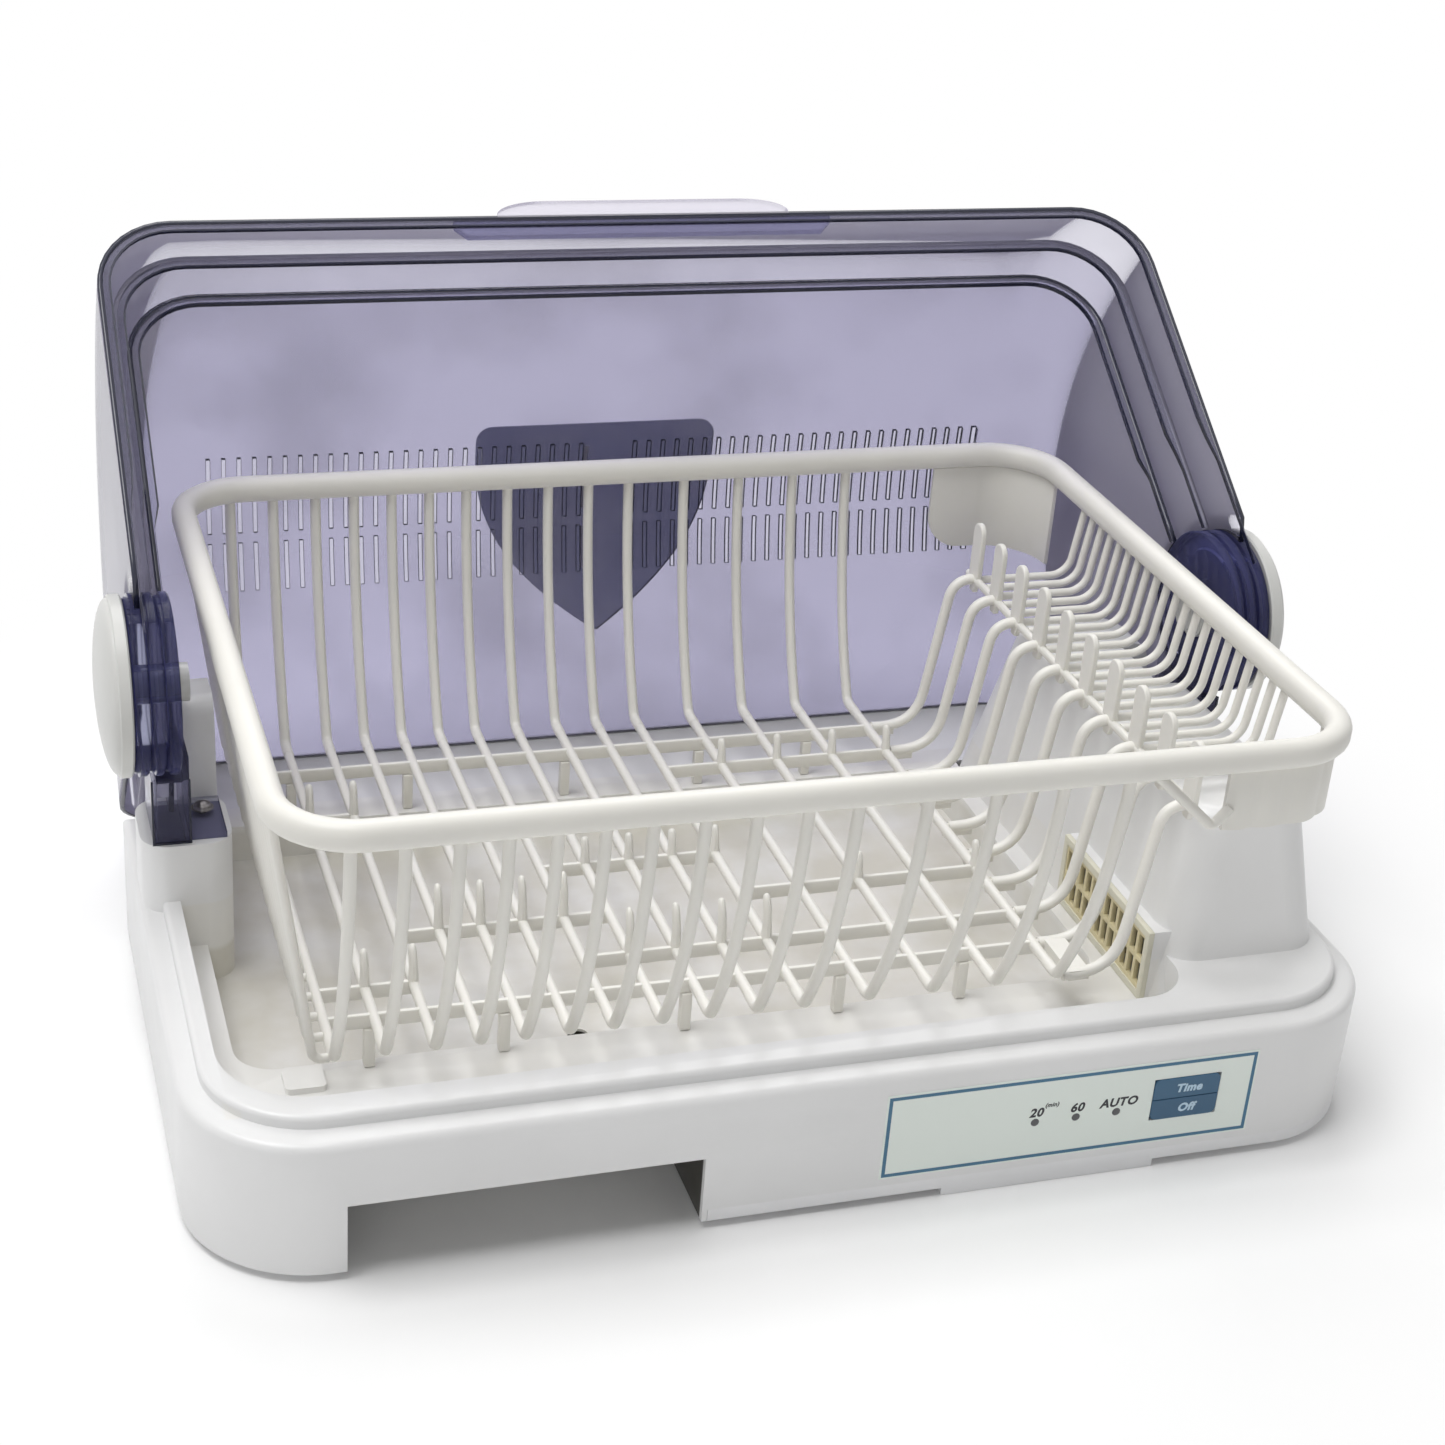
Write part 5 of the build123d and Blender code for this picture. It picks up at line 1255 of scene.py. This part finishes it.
@dataclass
class ControlFace:
    """Printing on the control film and the two-part blue key."""

    film: tuple[float, float, float, float] = (22.3, 206.5, 14.0, 59.0)
    face_y: float = -213.4
    key_x: tuple[float, float] = (154.5, 188.0)
    key_z: tuple[float, float, float] = (27.0, 38.0, 49.0)
    key_proud: float = 0.5
    key_corner: float = 3.2
    key_gap: float = 0.15
    flange_y: tuple[float, float] = (-209.9, -208.7)
    flange_proud: float = 1.4
    stem_x: tuple[float, float] = (169.8, 172.8)
    stem_end: float = -205.6
    stem_half: float = 1.4
    key_type: float = 6.0
    key_type_x: float = 172.2
    key_type_z: tuple[float, float] = (41.4, 30.4)
    film_type: float = 6.4
    film_type_z: float = 37.6
    line_inset: float = 0.9
    line_width: float = 1.7
    lens_x: tuple[float, float, float] = (96.0, 116.3, 136.6)
    lens_z: float = 34.4

    def frame_line(self) -> None:
        """Blue line just inside the film's edge: four thin strips."""
        x0, x1, z0, z1 = self.film
        inset, w = self.line_inset, self.line_width
        x0, x1, z0, z1 = x0 + inset, x1 - inset, z0 + inset, z1 - inset
        y0, y1 = self.face_y - 0.06, self.face_y + 0.1
        pile = Pile()
        for low, high in (((x0, z0), (x1, z0 + w)), ((x0, z1 - w), (x1, z1)),
                          ((x0, z0 + w), (x0 + w, z1 - w)), ((x1 - w, z0 + w), (x1, z1 - w))):
            pile.slab((low[0], y0, low[1]), (high[0], y1, high[1]))
        obj = pile.make("control_frame_line", [PRINT_BLUE], Body.BASE)

    def lenses(self) -> None:
        """Dark domed lenses: a profile (r, y) turned about each lens's axis."""
        y = self.face_y
        outline = np.array([[0.01, y - 0.55], [1.2, y - 0.45], [1.9, y - 0.2], [2.2, y + 0.2],
                            [0.01, y + 0.2]])
        a = np.linspace(0, 2 * math.pi, 24, endpoint=False)[:, None]
        pile = Pile()
        for x in self.lens_x:
            grid = np.stack([x + outline[:, 0] * np.cos(a), np.broadcast_to(outline[:, 1], (24, 5)),
                             self.lens_z + outline[:, 0] * np.sin(a)], -1)
            pile.add(grid, wrap_u=True, wrap_v=True)
        obj = pile.make("lens_domes", [LENS_DARK], Body.BASE)

    def words(self, text: str, x: float, z: float, size: float, finish: Finish, name: str,
              y: float, body: Body = Body.BASE, weight: float = 0.036) -> None:
        """One generic word or number, printed upright on the film or on a key.

        The letters' point (u, v, w) goes to (x + u + 0.2 v, y - w, z + v).

        Args:
            text: The letters.
            x: X of the middle.
            z: Height of the base line.
            size: Size of the type in millimetres.
            finish: Colour of the print.
            name: The object's name.
            y: Y of the surface that it is printed on.
            body: The body that it rides on.
            weight: Share of the size by which the strokes are thickened.
        """
        curve = bpy.data.curves.new(name, "FONT")
        curve.body = text
        curve.size = size
        curve.offset = weight * size
        curve.extrude = 0.05
        curve.align_x = "CENTER"
        curve.space_character = 1.08
        curve.resolution_u = 3
        holder = bpy.data.objects.new(name + "_type", curve)
        mesh = bpy.data.meshes.new_from_object(holder)
        bpy.data.objects.remove(holder)
        flat = np.empty(len(mesh.vertices) * 3)
        mesh.vertices.foreach_get("co", flat)
        u, v, w = flat.reshape(-1, 3).T
        points = np.column_stack([x + u + 0.2 * v, y + HINGE_Y - w, z + v]) * MM
        mesh.vertices.foreach_set("co", points.ravel())
        mesh.materials.clear()
        mesh.materials.append(finish.make())
        mesh.update()
        obj = placed(name, mesh)
        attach(obj, body.value)

    def key(self, z0: float, z1: float, top: bool, name: str, node: str, body: Body,
            finish: Finish) -> None:
        """Half of the key, rounded on its outer corners, with its flange and stem.

        Args:
            z0: Lower end.
            z1: Upper end.
            top: Whether this is the upper half.
            name: The object's name.
            node: The CAD node that it stands for.
            body: The body that it rides on.
            finish: Its finish.
        """
        x0, x1 = self.key_x
        bend, face = self.key_corner, self.face_y - self.key_proud
        a = np.linspace(0.0, math.pi / 2, 6)
        x = x1 - bend + bend * np.cos(a)
        z = (z1 - bend + bend * np.sin(a)) if top else (z0 + bend - bend * np.sin(a))
        flat_z = z0 if top else z1
        right = np.vstack([[[x1, flat_z]], np.column_stack([x, z])])
        left = right[::-1] * np.array([-1.0, 1.0]) + np.array([x0 + x1, 0.0])
        outline = np.vstack([right, left])
        outline[:, 1] += self.key_gap if top else -self.key_gap
        pile = Pile()
        pile.plate(outline, 1, face, self.face_y + 3.5)
        (outer, inner), proud = self.flange_y, self.flange_proud
        pile.slab((x0 - proud, outer, z0 + 0.2), (x1 + proud, inner, z1 - 0.2))
        low, high = (z0 + z1) / 2 - self.stem_half, (z0 + z1) / 2 + self.stem_half
        pile.slab((self.stem_x[0], inner, low), (self.stem_x[1], self.stem_end, high))
        obj = pile.make(name, [finish], body)
        bevelled(obj, 0.35)
        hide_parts(node)

    def build(self) -> None:
        """Makes the printing, lenses and keys."""
        self.frame_line()
        self.lenses()
        y, z, on_key = self.face_y - 0.01, self.film_type_z, self.face_y - self.key_proud
        for text, x, name in (("20", 96.0, "print_short"), ("60", 116.3, "print_long"),
                              ("AUTO", 137.2, "print_auto")):
            self.words(text, x, z, self.film_type, PRINT_BLACK, name, y)
        low, split, high = self.key_z
        self.key(split, high, True, "time_key_cap", "time_key", Body.TIME_KEY, BLUE)
        # The Off key takes the darker blue, which is painted shade.
        self.key(low, split, False, "off_key_cap", "off_key", Body.OFF_KEY, BLUE_PAINTED_SHADE)
        for text, z, name, body in (("Time", self.key_type_z[0], "print_time", Body.TIME_KEY),
                                    ("Off", self.key_type_z[1], "print_off", Body.OFF_KEY)):
            self.words(text, self.key_type_x, z, self.key_type, PRINT_PALE, name, on_key, body,
                       0.045)
        self.words("(min)", 103.4, 42.2, 3.0, PRINT_BLACK, "print_min", y)
        LOG.info("controls: print, lenses and keys")


# Studio


@dataclass
class Studio:
    """Camera at the photograph's place, pale floor, world and lamps."""

    focal_px: float = 2490.0
    image_px: float = 1445.0
    place: tuple[float, float, float] = (-0.3584, -1.0527, 0.694)
    yaw: float = 19.30
    pitch: float = 26.75
    roll: float = -4.456
    floor_half: float = 6.0
    floor_drop: float = 0.0002
    fill_strength: float = 0.32
    white_from: float = 0.28
    white_to: float = 0.56

    def camera(self) -> bpy.types.Object:
        """Camera from yaw, pitch and roll.

        The view direction is (sin yaw cos pitch, cos yaw cos pitch, -sin pitch), and the image's
        right and down directions are turned about it by the roll.

        Returns:
            The camera.
        """
        yaw, pitch, roll = (math.radians(a) for a in (self.yaw, self.pitch, self.roll))
        ahead = Vector((math.sin(yaw) * math.cos(pitch), math.cos(yaw) * math.cos(pitch),
                        -math.sin(pitch)))
        right = Vector((math.cos(yaw), -math.sin(yaw), 0.0))
        down = ahead.cross(right)
        across = right * math.cos(roll) + down * math.sin(roll)
        below = down * math.cos(roll) - right * math.sin(roll)
        data = bpy.data.cameras.new("photo_camera")
        data.sensor_width = 36.0
        data.lens = self.focal_px / self.image_px * data.sensor_width
        data.clip_end = 60.0
        cam = placed("photo_camera", data)
        turn = Matrix((across, -below, -ahead)).transposed().to_4x4()
        cam.matrix_world = Matrix.Translation(self.place) @ turn
        bpy.context.scene.camera = cam
        return cam

    def floor(self) -> None:
        """Flat pale floor that shows white to the camera and keeps the object's shadow."""
        half = self.floor_half
        corners = [(x * half, y * half, -self.floor_drop)
                   for x, y in ((-1, -1), (1, -1), (1, 1), (-1, 1))]
        mesh = bpy.data.meshes.new("floor")
        mesh.from_pydata(corners, [], [(0, 1, 2, 3)])
        mesh.materials.append(self.paper())
        obj = placed("floor", mesh)

    def paper(self) -> bpy.types.Material:
        """Paper that is lit near the object and turns to plain white further out.

        The share of plain white is a smooth step of the distance from the middle, for camera,
        glossy and transmission rays.

        Returns:
            The floor's material.
        """
        mat = bpy.data.materials.new("floor_paper")
        net = Network(mat)
        shader = net.own("Principled BSDF", {"Base Color": (0.96, 0.96, 0.96, 1.0),
                                             "Roughness": 0.9, "Specular IOR Level": 0.1})
        reach = net.add("VectorMath", {})
        reach.operation = "LENGTH"
        net.link(net.point(), reach.inputs[0])
        plain = net.ramp(reach.outputs["Value"], self.white_from, self.white_to)
        plain.node.interpolation_type = "SMOOTHSTEP"
        share = net.combine("MULTIPLY", plain, self.seen_rays(net))
        net.blend(share, shader, net.add("Emission", {}))
        return mat

    def seen_rays(self, net: Network) -> bpy.types.NodeSocket:
        """1 for camera, glossy and transmission rays, and 0 for the rest."""
        rays = net.add("LightPath", {})
        seen = rays.outputs["Is Camera Ray"]
        for name in ("Is Glossy Ray", "Is Transmission Ray"):
            seen = net.combine("MAXIMUM", seen, rays.outputs[name])
        return seen

    def world(self) -> None:
        """World that is white to the camera and to reflections, and a soft fill otherwise."""
        world = bpy.data.worlds.new("studio_world")
        bpy.context.scene.world = world
        net = Network(world)
        sky = net.own("Background", {"Color": (1.0, 1.0, 1.0, 1.0)})
        net.link(net.ramp(self.seen_rays(net), bottom=self.fill_strength), sky.inputs["Strength"])

    def lamp(self, name: str, place: tuple[float, float, float], size: float,
             power: float) -> None:
        """Square soft lamp that points at the middle of the object.

        Args:
            name: The lamp's name.
            place: Where it hangs, in metres.
            size: Side of its square in metres.
            power: Its power in watts.
        """
        data = bpy.data.lights.new(name, "AREA")
        data.shape = "SQUARE"
        data.size = size
        data.energy = power
        lamp = placed(name, data)
        aim = Vector((0.0, 0.0, 0.15)) - Vector(place)
        lamp.rotation_euler = aim.to_track_quat("-Z", "Y").to_euler()
        lamp.location = place

    def build(self) -> None:
        """Sets up the whole studio."""
        self.camera()
        self.floor()
        self.world()
        self.lamp("key_lamp", (-0.9, -0.1, 2.5), 1.5, 45.0)
        self.lamp("fill_lamp", (-0.9, -1.9, 0.9), 1.2, 2.0)
        self.lamp("back_lamp", (0.3, 1.5, 2.1), 1.6, 24.0)
        bpy.context.scene.view_settings.view_transform = "Standard"
        bpy.context.scene.cycles.transparent_max_bounces = 24
        LOG.info("studio ready")


def main() -> None:
    """Builds the sub-assemblies in order and reports each."""
    logging.basicConfig(level=logging.INFO, format="%(name)s: %(message)s")
    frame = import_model()
    CadSkin().dress(frame["nodes"])
    CoverSet().build()
    PlateBasket().build()
    ControlFace().build()
    Studio().build()


if __name__ == "__main__":
    main()
